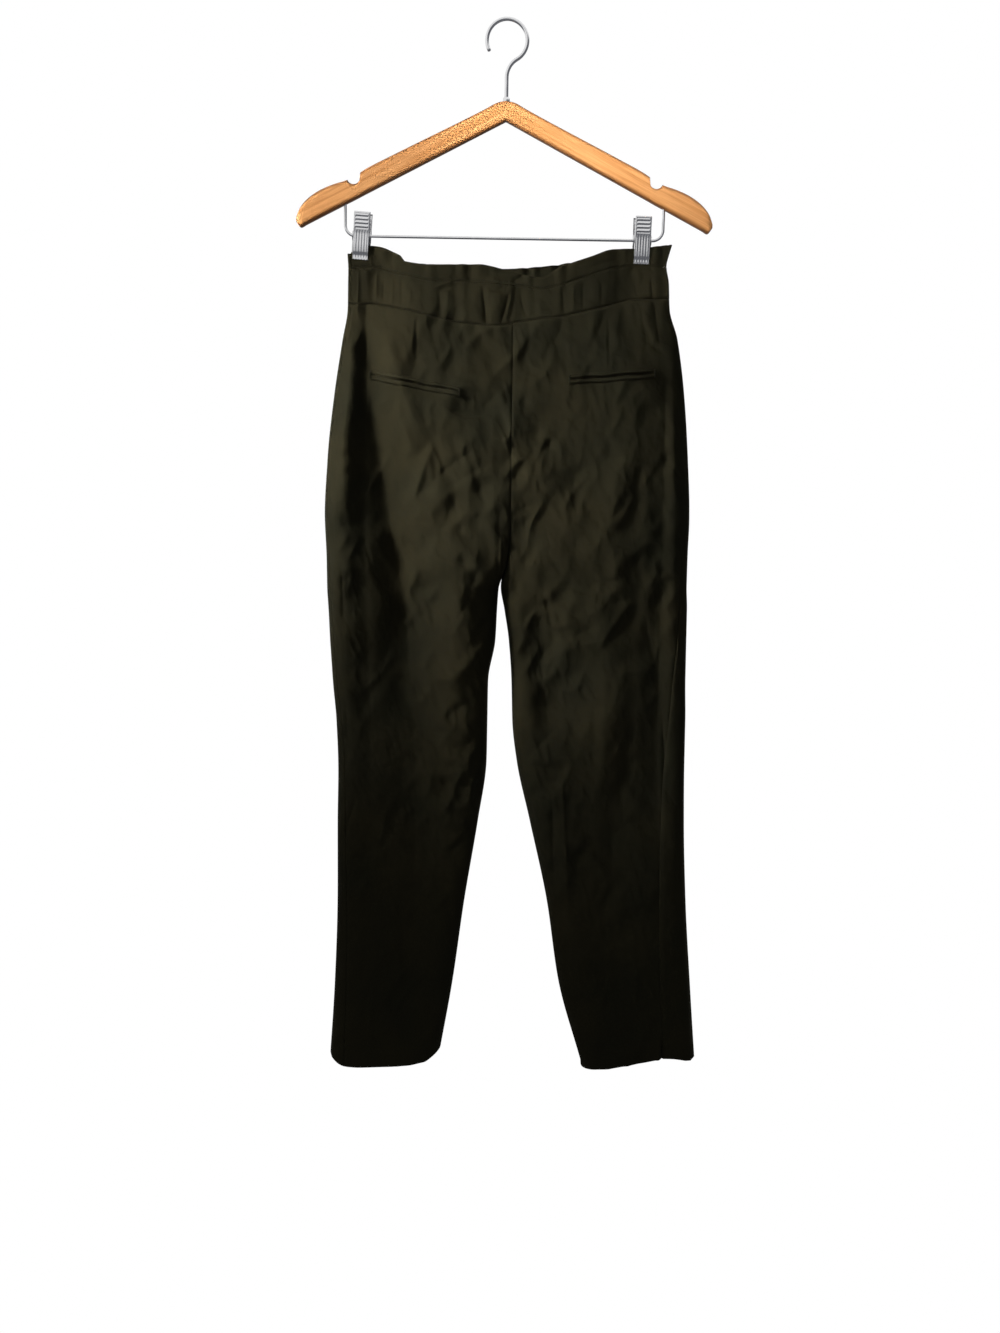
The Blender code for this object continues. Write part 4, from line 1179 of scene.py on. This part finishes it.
def waist_grid(face, lower, upper, rows):
    """A strip's points right across one face of the waist, between two of its lines.

    The gathers deepen from its lower to its upper edge, and it dips as a bell along both edges.
    """
    halves, edges = [], []
    top = np.array([[TOP]])
    up = spread_columns(rows, 0.6)[:, None]
    ripple = RIPPLE[lower][0] + (RIPPLE[lower][1] - RIPPLE[lower][0]) * up
    for leg in ("left", "right"):
        q = places_across(face, seam_place(top, leg), spread_columns(200, 0.35)[None])
        x = half_x(top, leg, q)
        low, high = waist_line(x, lower, face) + GAP / 2, waist_line(x, upper, face) - GAP / 2
        z = low + (high - low) * up
        from_low, from_high = z - low, high - z
        from_stitches = (from_low if upper == "edge" else from_high) - STITCH_INSET
        pulled = 0.35 * MM * np.sin(x / (1.35 * MM)) * bell(from_stitches / (1.2 * MM))
        dip = (
            groove(from_low, 1.1 if lower == "seam" else 0.5, 1.4)
            + groove(from_high, 0.4 if upper == "casing" else 0.7, 1.2)
            + pulled * 0.6
        )
        points = cloth(leg, np.broadcast_to(q, z.shape), z, ripple=ripple, dip=dip)
        points[:, 0] += level_ahead(points) * GAP / 2 * (1 if face == "back" else -1)
        halves.append(points)
        edges.append(np.maximum(bell(from_low / (2 * MM)), bell(from_high / (2 * MM))))
    return [np.concatenate([left, right[:, -2::-1]], axis=1) for left, right in (halves, edges)]


def allowance(name, x, z, dip, node):
    """A turned-in edge behind a front seam, on points of the front's cloth at x and z."""
    halves = [cloth_at(leg, "front", x, z, dip) for leg in ("left", "right")]
    points = np.where((x < section(z, "left_inner"))[..., None], *halves)
    return cloth_piece(name, points, "front", ALLOWANCE_WALL, np.full(x.shape, 0.2), [node])


def make_waist_allowance(line, node):
    """The turned-in edge behind one of the front's waist lines, between the clips."""
    span, half = WAIST_ALLOWANCE
    x = np.broadcast_to(np.linspace(*span, 160) * MM, (5, 160))
    z = waist_line(x, line, "front") + np.linspace(half, -half, 5)[:, None] * MM
    piece = allowance(f"{node}_allowance", x, z, 4 * MM, node)


def make_centre_allowance():
    """The turned-in edge behind the centre-front seam, from the waist seam to the crotch."""
    span, half = CENTRE_ALLOWANCE
    z = np.broadcast_to(np.linspace(*span, 110)[:, None] * MM, (110, 9))
    x = section(z, "left_inner") + np.linspace(-half, half, 9) * MM
    piece = allowance("front_left_centre_allowance", x, z, 2.2 * MM, "front_left")


def make_waist():
    """The waistband and the frill above it on both faces, and the front's turned-in edges."""
    for face in ("back", "front"):
        points, edge = waist_grid(face, "seam", "casing", 26)
        band = cloth_piece(f"waistband_{face}_strip", points, face, BAND_WALL, edge, [f"waistband_{face}"])
        points, edge = waist_grid(face, "casing", "edge", 20)
        frill = cloth_piece(f"frill_{face}_ruffle", points, face, BAND_WALL, edge, [f"frill_{face}"])
    make_waist_allowance("seam", "front_left")
    make_centre_allowance()
    make_waist_allowance("casing", "frill_front")


# ---------------------------------------------------------------- pockets


def welt_shape(leg, place):
    """Half a flattened round carried along the pocket's mouth, proud of the back's cloth and sunk at its ends."""
    x0, z0, x1, z1 = POCKETS[leg]
    sign, sagging = (1, 0.4) if place == "upper" else (-1, 1)
    rings, sides = 160, 20
    t = np.linspace(0, 1, rings)[:, None]
    turn = np.linspace(0, 2 * math.pi, sides, endpoint=False)[None]
    x = (x0 + (x1 - x0) * t) * MM + 0 * turn
    sag = 0.5 * MM * np.sin(math.pi * t) * sagging
    middle = (z0 + (z1 - z0) * t) * MM - sag + 0.25 * MM * np.sin(x / (6 * MM))
    ends = rounded(np.minimum(t, 1 - t) / 0.012) * 0.97 + 0.03
    level = middle + sign * (WELT_HEIGHT / 2 + MOUTH / 2)
    bulge = 0.25 * MM * np.sin(x / (4.3 * MM) + sign) * bell((t - 0.5) / 0.4)
    points = cloth_at(leg, "back", x, level)
    points[..., 2] = level + WELT_HEIGHT / 2 * ends * np.cos(turn)
    points[..., 1] -= 0.25 * MM + (WELT_PROUD + bulge) * ends * np.sin(turn)
    return points, barrel_faces(rings, sides)


def make_pockets():
    """Two welts for each pocket, with the mouth between them."""
    for leg, (x0, _, x1, _) in POCKETS.items():
        length = abs(x1 - x0) * MM + 0.002
        for place in ("upper", "lower"):
            name = f"pocket_{leg}_{place}_welt"
            points, faces = welt_shape(leg, place)
            uv = np.stack([points[..., 0], points[..., 2] * 1.4], axis=-1)
            more = {"uv": uv, "layers": {"sewn_edge": 0.35}, "sharp": 70}
            piece = solid_piece(f"{name}_roll", (points, faces), cloth_look(), "cloth", name, **more)
            length * 0.0055


# ---------------------------------------------------------------- stitches


def capsules(centres, directions, outs, length, radius):
    """One small rounded bar for each centre, lying along its direction: four rings of six points each."""
    sides = np.linspace(0, 2 * math.pi, 6, endpoint=False)[None, None, :, None]
    reach = (np.array((-0.5, -0.32, 0.32, 0.5)) * length)[None, :, None, None]
    girth = (np.array((0.35, 1.0, 1.0, 0.35)) * radius)[None, :, None, None]
    across = np.cross(directions, outs)
    across /= np.linalg.norm(across, axis=1, keepdims=True)
    up = np.cross(across, directions)[:, None, None]
    across, ahead = across[:, None, None], directions[:, None, None]
    points = centres[:, None, None] + reach * ahead + girth * (np.cos(sides) * across + np.sin(sides) * up)
    one = barrel_faces(4, 6)
    return points.reshape(-1, 3), [[i + 24 * k for i in face] for k in range(len(centres)) for face in one]


def stitch_row(points, face):
    """Stitches set out evenly along a line of points on the cloth, each lying out from it."""
    run = np.concatenate([[0], np.cumsum(np.linalg.norm(np.diff(points, axis=0), axis=1))])
    places = np.arange(STITCH_PITCH / 2, run[-1] - STITCH_PITCH / 2, STITCH_PITCH)
    centres = np.stack([np.interp(places, run, points[:, i]) for i in range(3)], axis=-1)
    ahead = np.stack([np.interp(places, run, np.gradient(points[:, i], run)) for i in range(3)], axis=-1)
    ahead /= np.linalg.norm(ahead, axis=1, keepdims=True)
    sign = -1 if face == "back" else 1
    outs = np.stack([-sign * ahead[:, 1], sign * ahead[:, 0], 0 * ahead[:, 0]], axis=-1)
    outs[:, 1] = np.where(np.abs(outs[:, 1]) < 1e-6, sign, outs[:, 1])
    outs *= np.sign(outs[:, 1:2]) * sign
    outs /= np.linalg.norm(outs, axis=1, keepdims=True)
    return capsules(centres + outs * STITCH_LIFT, ahead, outs, STITCH_LENGTH, STITCH_RADIUS)


def make_stitches():
    """Rows of thread either side of the casing line, and bar tacks at the pockets' ends."""
    look = look_named("sewing_thread", build_thread)
    for face in ("back", "front"):
        rows = []
        for lower, upper, wanted in (("casing", "edge", 1.9 * MM), ("seam", "casing", 1.7 * MM)):
            points, _ = waist_grid(face, lower, upper, 26)
            z = points[..., 2]
            height = z[-1:] - z if upper == "casing" else z - z[:1]
            nearest = np.abs(height - wanted).argmin(axis=0)
            line = points[nearest, np.arange(points.shape[1])]
            rows.append(stitch_row(line[4:-4], face))
        solid_piece(f"casing_stitches_{face}", joined(rows), look, "cloth")
    tacks = []
    for leg, (x0, z0, x1, z1) in POCKETS.items():
        for x, z in ((x0 + 0.8, z0), (x1 - 0.8, z1)):
            level = np.linspace(z + TACK_REACH, z - TACK_REACH, 14) * MM
            centres = cloth_at(leg, "back", np.full(14, x * MM), level)
            centres[:, 1] -= WELT_PROUD + 0.2 * MM
            ahead, outs = np.tile((1.0, 0, 0.15), (14, 1)), np.tile((0, -1.0, 0), (14, 1))
            tacks.append(capsules(centres, ahead, outs, TACK_LENGTH, TACK_RADIUS))
    solid_piece("pocket_bar_tacks", joined(tacks), look, "cloth")


# ---------------------------------------------------------------- hanger


def make_yoke():
    """Sections set across the arms: each a superellipse as tall as the wood there and as thick as the yoke.

    The upper edge carries the strap notches as half circles, and the thickness closes at the tips
    as a quarter ellipse. The map runs along each arm and across it, and a layer marks the upper and lower edges for
    painted shade.
    """
    reach = YOKE_NOSE[0, -1]
    cx, cz, radius = NOTCH
    half = reach * (1 - (1 - np.linspace(0, 1, 170)) ** 1.7)
    half = np.unique(np.concatenate([half, np.linspace(cx - radius - 1.5, cx + radius + 1.5, 26)]))
    x = np.concatenate([-half[:0:-1], half])
    u = np.abs(x)
    upper = smooth(u, *np.concatenate([YOKE_UPPER, YOKE_NOSE], axis=1))
    inside = np.clip(1 - ((u - cx) / radius) ** 2, 0, None)
    upper = np.where(inside > 0, np.minimum(upper, cz - radius * np.sqrt(inside) * 0.98), upper)
    lower = np.minimum(smooth(u, *YOKE_LOWER), upper - 0.2)
    tip = np.clip((reach - u) / YOKE_TIP, 0, 1)
    thick = YOKE_THICKNESS / 2 * (0.25 + 0.75 * np.sqrt(1 - (1 - tip) ** 2))
    turn = np.linspace(0, 2 * math.pi, YOKE_SIDES, endpoint=False)
    flat, tall = (np.sign(part) * np.abs(part) ** (2 / YOKE_POWER) for part in (np.cos(turn), np.sin(turn)))
    middle, height = (upper + lower) / 2 * MM, (upper - lower) / 2 * MM
    px = np.broadcast_to((x * MM)[:, None], (len(x), YOKE_SIDES))
    points = np.stack([px, thick[:, None] * flat[None], middle[:, None] + height[:, None] * tall[None]], axis=-1)
    slope = math.atan(YOKE_SLOPE)
    along = np.abs(px) / math.cos(slope)
    across = points[..., 2] + np.abs(px) * math.tan(slope)
    uv = np.stack([along + 0.31 * (px > 0), across + points[..., 1] * 0.7], axis=-1)
    # Where the wood gets painted shade: near the upper and lower edges of each section.
    edge = np.broadcast_to(step_up((np.abs(tall) - 0.7) / 0.14), (len(x), YOKE_SIDES))
    shape, look = (tilted(points), barrel_faces(len(x), YOKE_SIDES)), look_named("varnished_wood", build_wood)
    more = {"uv": uv, "layers": {"sewn_edge": edge.ravel()}, "sharp": 60}
    solid_piece("hanger_yoke_wood", shape, look, "wood", "hanger_yoke", **more)


def arc(centre, radius, start, end, steps):
    """Points on an arc in the hanger's plane, angles in radians from +X."""
    angles = np.linspace(start, end, steps)
    return np.stack([centre[0] + radius * np.cos(angles), 0 * angles, centre[1] + radius * np.sin(angles)], axis=-1)


def make_wires():
    """The hook with its ferrule, and the clip bar: round bars carried along straights and arcs."""
    look = metal_look("wire")
    middle = (0, HOOK_WIRE - HOOK_RADIUS)
    join = math.radians(-60)
    bend_z = middle[1] + HOOK_RADIUS * math.sin(join) - HOOK_RADIUS * math.sin(math.radians(60))
    shank = np.linspace((0, 0, SHANK_BOTTOM), (0, 0, bend_z), 8, endpoint=False)
    bend = arc((HOOK_RADIUS, bend_z), HOOK_RADIUS, math.pi, math.radians(120), 16)
    over = arc(middle, HOOK_RADIUS, join, HOOK_END, 90)[1:]
    bottom, top, radius = FERRULE
    ferrule = tube(np.linspace((0, 0, bottom), (0, 0, top), 6), radius, 24)
    points, faces = joined([tube(np.concatenate([shank, bend, over]), HOOK_WIRE, 20), ferrule])
    solid_piece("hanger_hook_wire", (tilted(points), faces), look, "wire", "hanger_hook", sharp=50)
    low = BAR_LEVEL + BAR_BEND
    left = arc((-BAR_LEG + BAR_BEND, low), BAR_BEND, math.pi, 1.5 * math.pi, 16)
    right = arc((BAR_LEG - BAR_BEND, low), BAR_BEND, 1.5 * math.pi, 2 * math.pi, 16)
    down = np.linspace((-BAR_LEG, 0, BAR_TOP), (-BAR_LEG, 0, low), 5, endpoint=False)
    up = np.linspace((BAR_LEG, 0, low), (BAR_LEG, 0, BAR_TOP), 6)[1:]
    level = np.linspace(left[-1], right[0], 60)[1:-1]
    points, faces = tube(np.concatenate([down, left, level, right, up]), BAR_WIRE, 16)
    solid_piece("hanger_bar_wire", (tilted(points), faces), look, "wire", "hanger_bar", sharp=50)


def placed(points, side):
    """A clip's own points leaned about the rod, moved along it, and turned with the hanger."""
    x0, lean = CLIP_PLACES[side]
    c, s = math.cos(lean), math.sin(lean)
    x, y, z = points[..., 0], points[..., 1], points[..., 2]
    return tilted(np.stack([x * c + z * s + x0, y, z * c - x * s + BAR_LEVEL], axis=-1))


def jaw_shape(direction, width):
    """A pressed jaw: the profile bent out from the rod, carried across the jaw, closed as a wall.

    Its upper third has grip ridges across it as leaning sines, below them it has ribs down it as
    cosines, both long edges turn in, and its lower edge is cut in teeth.
    """
    rows, columns = 110, 61
    up = np.linspace(JAW[1, 0], JAW[1, -1], rows)[:, None]
    across = spread_columns(columns, 0.4)[None] * 2 - 1
    beside = np.abs(across)
    waves = np.cos(across * math.pi * 6)
    out = smooth(up, JAW[1, ::-1], JAW[0, ::-1])
    turn = (up - 8.2) * 2 * math.pi / GRIP_PITCH
    grips = GRIP_HEIGHT * np.sin(turn + 0.5 * np.sin(turn))
    grips = grips * step_up((up - GRIPS_FROM) / 0.8) * step_up((GRIPS_TO - up) / 0.8) * step_up((0.82 - beside) / 0.1)
    ribs = RIB_HEIGHT * waves * step_up((RIBS_TO - up) / 1.5) * step_up((up - RIBS_FROM) / 1.5)
    ribs = ribs * step_up((0.86 - beside) / 0.1)
    turned = TURN_IN * step_up((beside - 0.9) / 0.1) ** 2
    lip = LIP * step_up((up - LIP_FROM) / 1.4)
    teeth = TOOTH_HEIGHT * (0.5 - 0.5 * waves) * step_up((TEETH_TOP - up) / 1.9)
    y = direction * (out + grips * (1 if direction < 0 else 0.6) + ribs + turned + lip)
    outer = np.stack([across * width / 2 / MM + 0 * up, y, up + teeth + 0 * across], axis=-1) * MM
    inner = outer.copy()
    inner[..., 1] -= direction * CLIP_SHEET
    faces = grid_faces(rows, columns)
    count = rows * columns
    index = np.arange(count).reshape(rows, columns)
    rim = np.concatenate([index[0, :-1], index[:-1, -1], index[-1, :0:-1], index[:0:-1, 0]])
    after = np.roll(rim, -1)
    wall = np.stack([rim, rim + count, after + count, after], axis=1)
    return np.concatenate([outer, inner]).reshape(-1, 3), np.concatenate([faces, faces[:, ::-1] + count, wall])


def cheek_shape(start):
    """A cheek: its outline rounded by cubic steps between corners, as thick as its sheet, with a round hole."""
    run = np.concatenate([[0], np.cumsum(np.linalg.norm(np.diff(CHEEK_OUTLINE, axis=1), axis=0))])
    places = np.linspace(0, run[-1], CHEEK_STEPS, endpoint=False)
    outline = np.stack([smooth(places, run, corners) for corners in CHEEK_OUTLINE], axis=-1)
    turn = np.arctan2(outline[:, 1], outline[:, 0])
    hole = np.stack([np.cos(turn), np.sin(turn)], axis=-1) * CHEEK_HOLE
    rings = (
        (hole, start),
        (outline * 0.98, start),
        (outline, start + CHEEK * 0.2),
        (outline, start + CHEEK * 0.8),
        (outline * 0.98, start + CHEEK),
        (hole, start + CHEEK),
    )
    points = [np.column_stack([np.full(CHEEK_STEPS, x), ring * MM]) for ring, x in rings]
    index = np.arange(len(rings) * CHEEK_STEPS).reshape(len(rings), CHEEK_STEPS)
    back_round = np.stack([index[-1], np.roll(index[-1], -1), np.roll(index[0], -1), index[0]], axis=-1)
    faces = grid_faces(len(rings), CHEEK_STEPS, closed=True)
    return np.concatenate(points), np.concatenate([faces, back_round])


def spring_shape():
    """The spring: a helix round the rod with a leg from each end up a jaw."""
    angle = np.linspace(0, SPRING_TURNS * 2 * math.pi, int(SPRING_TURNS * SPRING_STEPS))
    reach = CHEEK_INSIDE - 2.2 * MM
    x = np.linspace(-reach, reach, len(angle))
    coil = np.stack([x, -SPRING_RADIUS * np.cos(angle), SPRING_RADIUS * np.sin(angle)], axis=-1)
    feet = [(end[0], end[1] - 1.4 * MM, SPRING_LEG) for end in coil[[0, -1]]]
    first = np.linspace(feet[0], coil[0], 8, endpoint=False)
    last = np.linspace(coil[-1], feet[1], 9)[1:]
    return tube(np.concatenate([first, coil, last]), SPRING_WIRE, 8)


def make_clips():
    """Each clip: two pressed jaws, the rear one with cheeks round the rod, and a coiled spring."""
    look = metal_look("clip")
    rear = jaw_shape(1, 2 * (CHEEK_INSIDE + CHEEK)), cheek_shape(-CHEEK_INSIDE - CHEEK), cheek_shape(CHEEK_INSIDE)
    for side, (x0, _) in CLIP_PLACES.items():
        for jaw, (points, faces) in (("front_jaw", jaw_shape(-1, CLIP_WIDTH)), ("rear_jaw", joined(rear))):
            name = f"clip_{side}_{jaw}"
            solid_piece(f"{name}_pressed", (placed(points, side), faces), look, "clip", name, sharp=50)
        points, faces = spring_shape()
        points = tilted(points + np.array((x0, 0, BAR_LEVEL)))
        name = f"clip_{side}_spring"
        solid_piece(f"{name}_coil", (points, faces), metal_look("wire"), "clip", name, sharp=60)


# ---------------------------------------------------------------- stage

FLOOR_LEVEL = -1.36
FLOOR_RINGS = (0.02, 1.0, 3.0, 9.0)
CAMERA = ((-0.0078, -1.4, -0.4551), 81.0, 34.21)  # place, tilt in degrees, focal length in mm

# name without its ending, place, what it points at, size, spread in degrees, colour
LIGHTS = (
    ("key", (-1.63, -0.8, 0.3), (-0.06, 0, -0.43), 0.42, 21, (1.0, 0.975, 0.94)),
    ("fill", (-0.9, -1.4, -0.3), (0.06, 0, -0.85), 0.5, 120, (1.0, 0.98, 0.95)),
    ("hanger", (-0.4, -1.3, 0.25), (0.09, 0, 0.0), 0.25, 24, (1.0, 0.98, 0.95)),
    ("back", (0.9, 1.5, 0.3), (0, 0, -0.6), 0.8, 120, (1.0, 0.98, 0.95)),
    ("side", (1.5, -0.3, 0.5), (0.1, 0, -0.6), 0.6, 120, (1.0, 0.98, 0.96)),
)


def area_light(name, power, place, target, size, spread, colour):
    """A round light that points at its target and is neither seen nor mirrored."""
    light = bpy.data.lights.new(name, "AREA")
    light.energy = power
    light.shape = "DISK"
    light.size = size
    light.spread = math.radians(spread)
    light.color = colour
    lamp = bpy.data.objects.new(name, light)
    bpy.context.scene.collection.objects.link(lamp)
    lamp.location = place
    away = np.array(place) - np.array(target)
    lamp.rotation_euler = (math.atan2(math.hypot(away[0], away[1]), away[2]), 0, math.atan2(away[0], -away[1]))
    lamp.visible_camera = False
    lamp.visible_glossy = False


def make_floor():
    """A round floor that looks evenly pale and adds no light, shadow or mirror image."""
    turn = np.linspace(0, 2 * math.pi, 96, endpoint=False)
    rings = [np.stack([r * np.cos(turn), r * np.sin(turn), np.full(96, FLOOR_LEVEL)], axis=-1) for r in FLOOR_RINGS]
    faces = [list(face) for face in grid_faces(len(rings), 96, closed=True)] + [list(range(95, -1, -1))]
    pale = bpy.data.materials.new("pale_floor")
    shader = Shader(pale)
    glow = shader.node("ShaderNodeEmission", inputs={"Color": (1, 1, 1), "Strength": 1.0})
    shader.node("ShaderNodeOutputMaterial", inputs={"Surface": glow.outputs[0]})
    floor = new_piece("floor", np.stack(rings), faces, pale)
    floor.visible_diffuse = False
    floor.visible_glossy = False
    floor.visible_shadow = False


def make_world(surround):
    """Pale where it is seen, weaker where it lights the cloth, and dark towards the right in the metal."""
    world = bpy.data.worlds.new("studio")
    bpy.context.scene.world = world
    shader = Shader(world)
    x, _, z = shader.axes(shader.node("ShaderNodeTexCoord").outputs["Generated"])
    lit_side = (z.between(0.3, 0.5) + x.between(0.07, -0.06)).between(0, 1) * z.between(-0.3, -0.02)
    mirror = shader.mix(lit_side, (0.15, 0.155, 0.17), (1, 1, 1))
    seen, soft, mirrored = (
        shader.node("ShaderNodeBackground", inputs={"Color": colour, "Strength": strength}).outputs[0]
        for colour, strength in (((1, 1, 1), 1.0), ((0.96, 0.98, 1.0), surround), (mirror, 1.0))
    )
    ray = shader.node("ShaderNodeLightPath").outputs
    other = shader.node("ShaderNodeMixShader", inputs={0: ray["Is Glossy Ray"], 1: soft, 2: mirrored})
    whole = shader.node("ShaderNodeMixShader", inputs={0: ray["Is Camera Ray"], 1: other.outputs[0], 2: seen})
    shader.node("ShaderNodeOutputWorld", inputs={"Surface": whole.outputs[0]})


def make_stage():
    """A pale floor and surround, a soft light at the upper left, weaker ones elsewhere, and the camera."""
    values = bpy.context.scene.trousers_stage
    make_floor()
    make_world(values.surround)
    for name, *how in LIGHTS:
        area_light(f"{name}_light", getattr(values, f"{name}_power"), *how)
    place, tilt, focal = CAMERA
    lens = bpy.data.cameras.new("camera")
    lens.lens = focal
    lens.sensor_width = 36
    lens.clip_start, lens.clip_end = 0.05, 40
    camera = bpy.data.objects.new("camera", lens)
    bpy.context.scene.collection.objects.link(camera)
    camera.location = place
    camera.rotation_euler = (math.radians(tilt), 0, 0)
    bpy.context.scene.camera = camera
    bpy.context.scene.view_settings.view_transform = "Standard"


# ---------------------------------------------------------------- add-on

COLOUR = {"subtype": "COLOR", "size": 3, "min": 0, "max": 1}


class TrousersCloth(bpy.types.PropertyGroup):
    """The twill's look and its creases"""

    colour: bpy.props.FloatVectorProperty(
        name="Cloth colour", description="Base colour of the twill", default=(0.0125, 0.012, 0.0072), **COLOUR
    )
    twill_pitch: bpy.props.FloatProperty(
        name="Twill pitch",
        description="Distance between the diagonal ribs",
        unit="LENGTH",
        min=0.0002,
        default=0.0009,
        precision=5,
    )
    crease_depth: bpy.props.FloatProperty(
        name="Crease depth", description="Depth of the creases, as a share of their own", min=0, max=2, default=1.0
    )


class TrousersHanger(bpy.types.PropertyGroup):
    """The hanger's colours"""

    wood_colour: bpy.props.FloatVectorProperty(
        name="Wood colour", description="Base colour of the varnished wood", default=(0.62, 0.305, 0.115), **COLOUR
    )
    metal_colour: bpy.props.FloatVectorProperty(
        name="Metal colour", description="Tone of the plated wire and clips", default=(0.78, 0.78, 0.79), **COLOUR
    )


class TrousersStage(bpy.types.PropertyGroup):
    """How strong each light is"""

    key_power: bpy.props.FloatProperty(
        name="Key light", description="Power of the light at the upper left, in watts", min=0, default=2.2
    )
    fill_power: bpy.props.FloatProperty(
        name="Fill light", description="Power of the wide light at the left, in watts", min=0, default=1.0
    )
    hanger_power: bpy.props.FloatProperty(
        name="Hanger light", description="Power of the narrow light on the hanger, in watts", min=0, default=0.9
    )
    back_power: bpy.props.FloatProperty(
        name="Back light", description="Power of the light behind, in watts", min=0, default=10
    )
    side_power: bpy.props.FloatProperty(
        name="Side light", description="Power of the weak light at the right, in watts", min=0, default=0.15
    )
    surround: bpy.props.FloatProperty(
        name="Surround", description="How much the pale surround lights the cloth", min=0, default=0.19
    )


class TROUSERS_OT_back_panels(bpy.types.Operator):
    """Make the two back panels of the legs and seat"""

    bl_idname = "trousers.back_panels"
    bl_label = "Back panels"

    def execute(self, context):
        make_panels("back")
        return {"FINISHED"}


class TROUSERS_OT_front_panels(bpy.types.Operator):
    """Make the two front panels of the legs"""

    bl_idname = "trousers.front_panels"
    bl_label = "Front panels"

    def execute(self, context):
        make_panels("front")
        return {"FINISHED"}


class TROUSERS_OT_waist(bpy.types.Operator):
    """Make the gathered waistband and the frill, back and front"""

    bl_idname = "trousers.waist"
    bl_label = "Waistband and frill"

    def execute(self, context):
        make_waist()
        return {"FINISHED"}


class TROUSERS_OT_pockets(bpy.types.Operator):
    """Make the welts of the two back pockets"""

    bl_idname = "trousers.pockets"
    bl_label = "Pocket welts"

    def execute(self, context):
        make_pockets()
        return {"FINISHED"}


class TROUSERS_OT_stitches(bpy.types.Operator):
    """Make the stitch rows and the bar tacks"""

    bl_idname = "trousers.stitches"
    bl_label = "Stitches"

    def execute(self, context):
        make_stitches()
        return {"FINISHED"}


class TROUSERS_OT_yoke(bpy.types.Operator):
    """Make the hanger's wooden yoke"""

    bl_idname = "trousers.yoke"
    bl_label = "Wooden yoke"

    def execute(self, context):
        make_yoke()
        return {"FINISHED"}


class TROUSERS_OT_wires(bpy.types.Operator):
    """Make the hanger's hook and clip bar"""

    bl_idname = "trousers.wires"
    bl_label = "Hook and bar"

    def execute(self, context):
        make_wires()
        return {"FINISHED"}


class TROUSERS_OT_clips(bpy.types.Operator):
    """Make the two pressed metal clips and their springs"""

    bl_idname = "trousers.clips"
    bl_label = "Clips"

    def execute(self, context):
        make_clips()
        return {"FINISHED"}


class TROUSERS_OT_stage(bpy.types.Operator):
    """Make the floor, surround, lights and camera"""

    bl_idname = "trousers.stage"
    bl_label = "Stage"

    def execute(self, context):
        make_stage()
        return {"FINISHED"}


OPERATORS = (
    TROUSERS_OT_back_panels,
    TROUSERS_OT_front_panels,
    TROUSERS_OT_waist,
    TROUSERS_OT_pockets,
    TROUSERS_OT_stitches,
    TROUSERS_OT_yoke,
    TROUSERS_OT_wires,
    TROUSERS_OT_clips,
    TROUSERS_OT_stage,
)


class TROUSERS_PT_maker(bpy.types.Panel):
    """The trousers' sizes, colours and makers"""

    bl_idname = "TROUSERS_PT_maker"
    bl_label = "Trousers"
    bl_space_type = "VIEW_3D"
    bl_region_type = "UI"
    bl_category = "Trousers"

    def draw(self, context):
        for name, group in GROUPS.items():
            box = self.layout.box()
            for key in group.__annotations__:
                box.prop(getattr(context.scene, name), key)
        for operator in OPERATORS:
            self.layout.operator(operator.bl_idname)


GROUPS = {"trousers_cloth": TrousersCloth, "trousers_hanger": TrousersHanger, "trousers_stage": TrousersStage}
CLASSES = (*GROUPS.values(), *OPERATORS, TROUSERS_PT_maker)


def register():
    for made in CLASSES:
        bpy.utils.register_class(made)
    for name, group in GROUPS.items():
        setattr(bpy.types.Scene, name, bpy.props.PointerProperty(type=group))


def unregister():
    for name in GROUPS:
        delattr(bpy.types.Scene, name)
    for made in reversed(CLASSES):
        bpy.utils.unregister_class(made)


def main():
    """Makes every piece and the stage."""
    register()
    for operator in OPERATORS:
        space, name = operator.bl_idname.split(".")
        getattr(getattr(bpy.ops, space), name)()


if __name__ == "__main__":
    main()
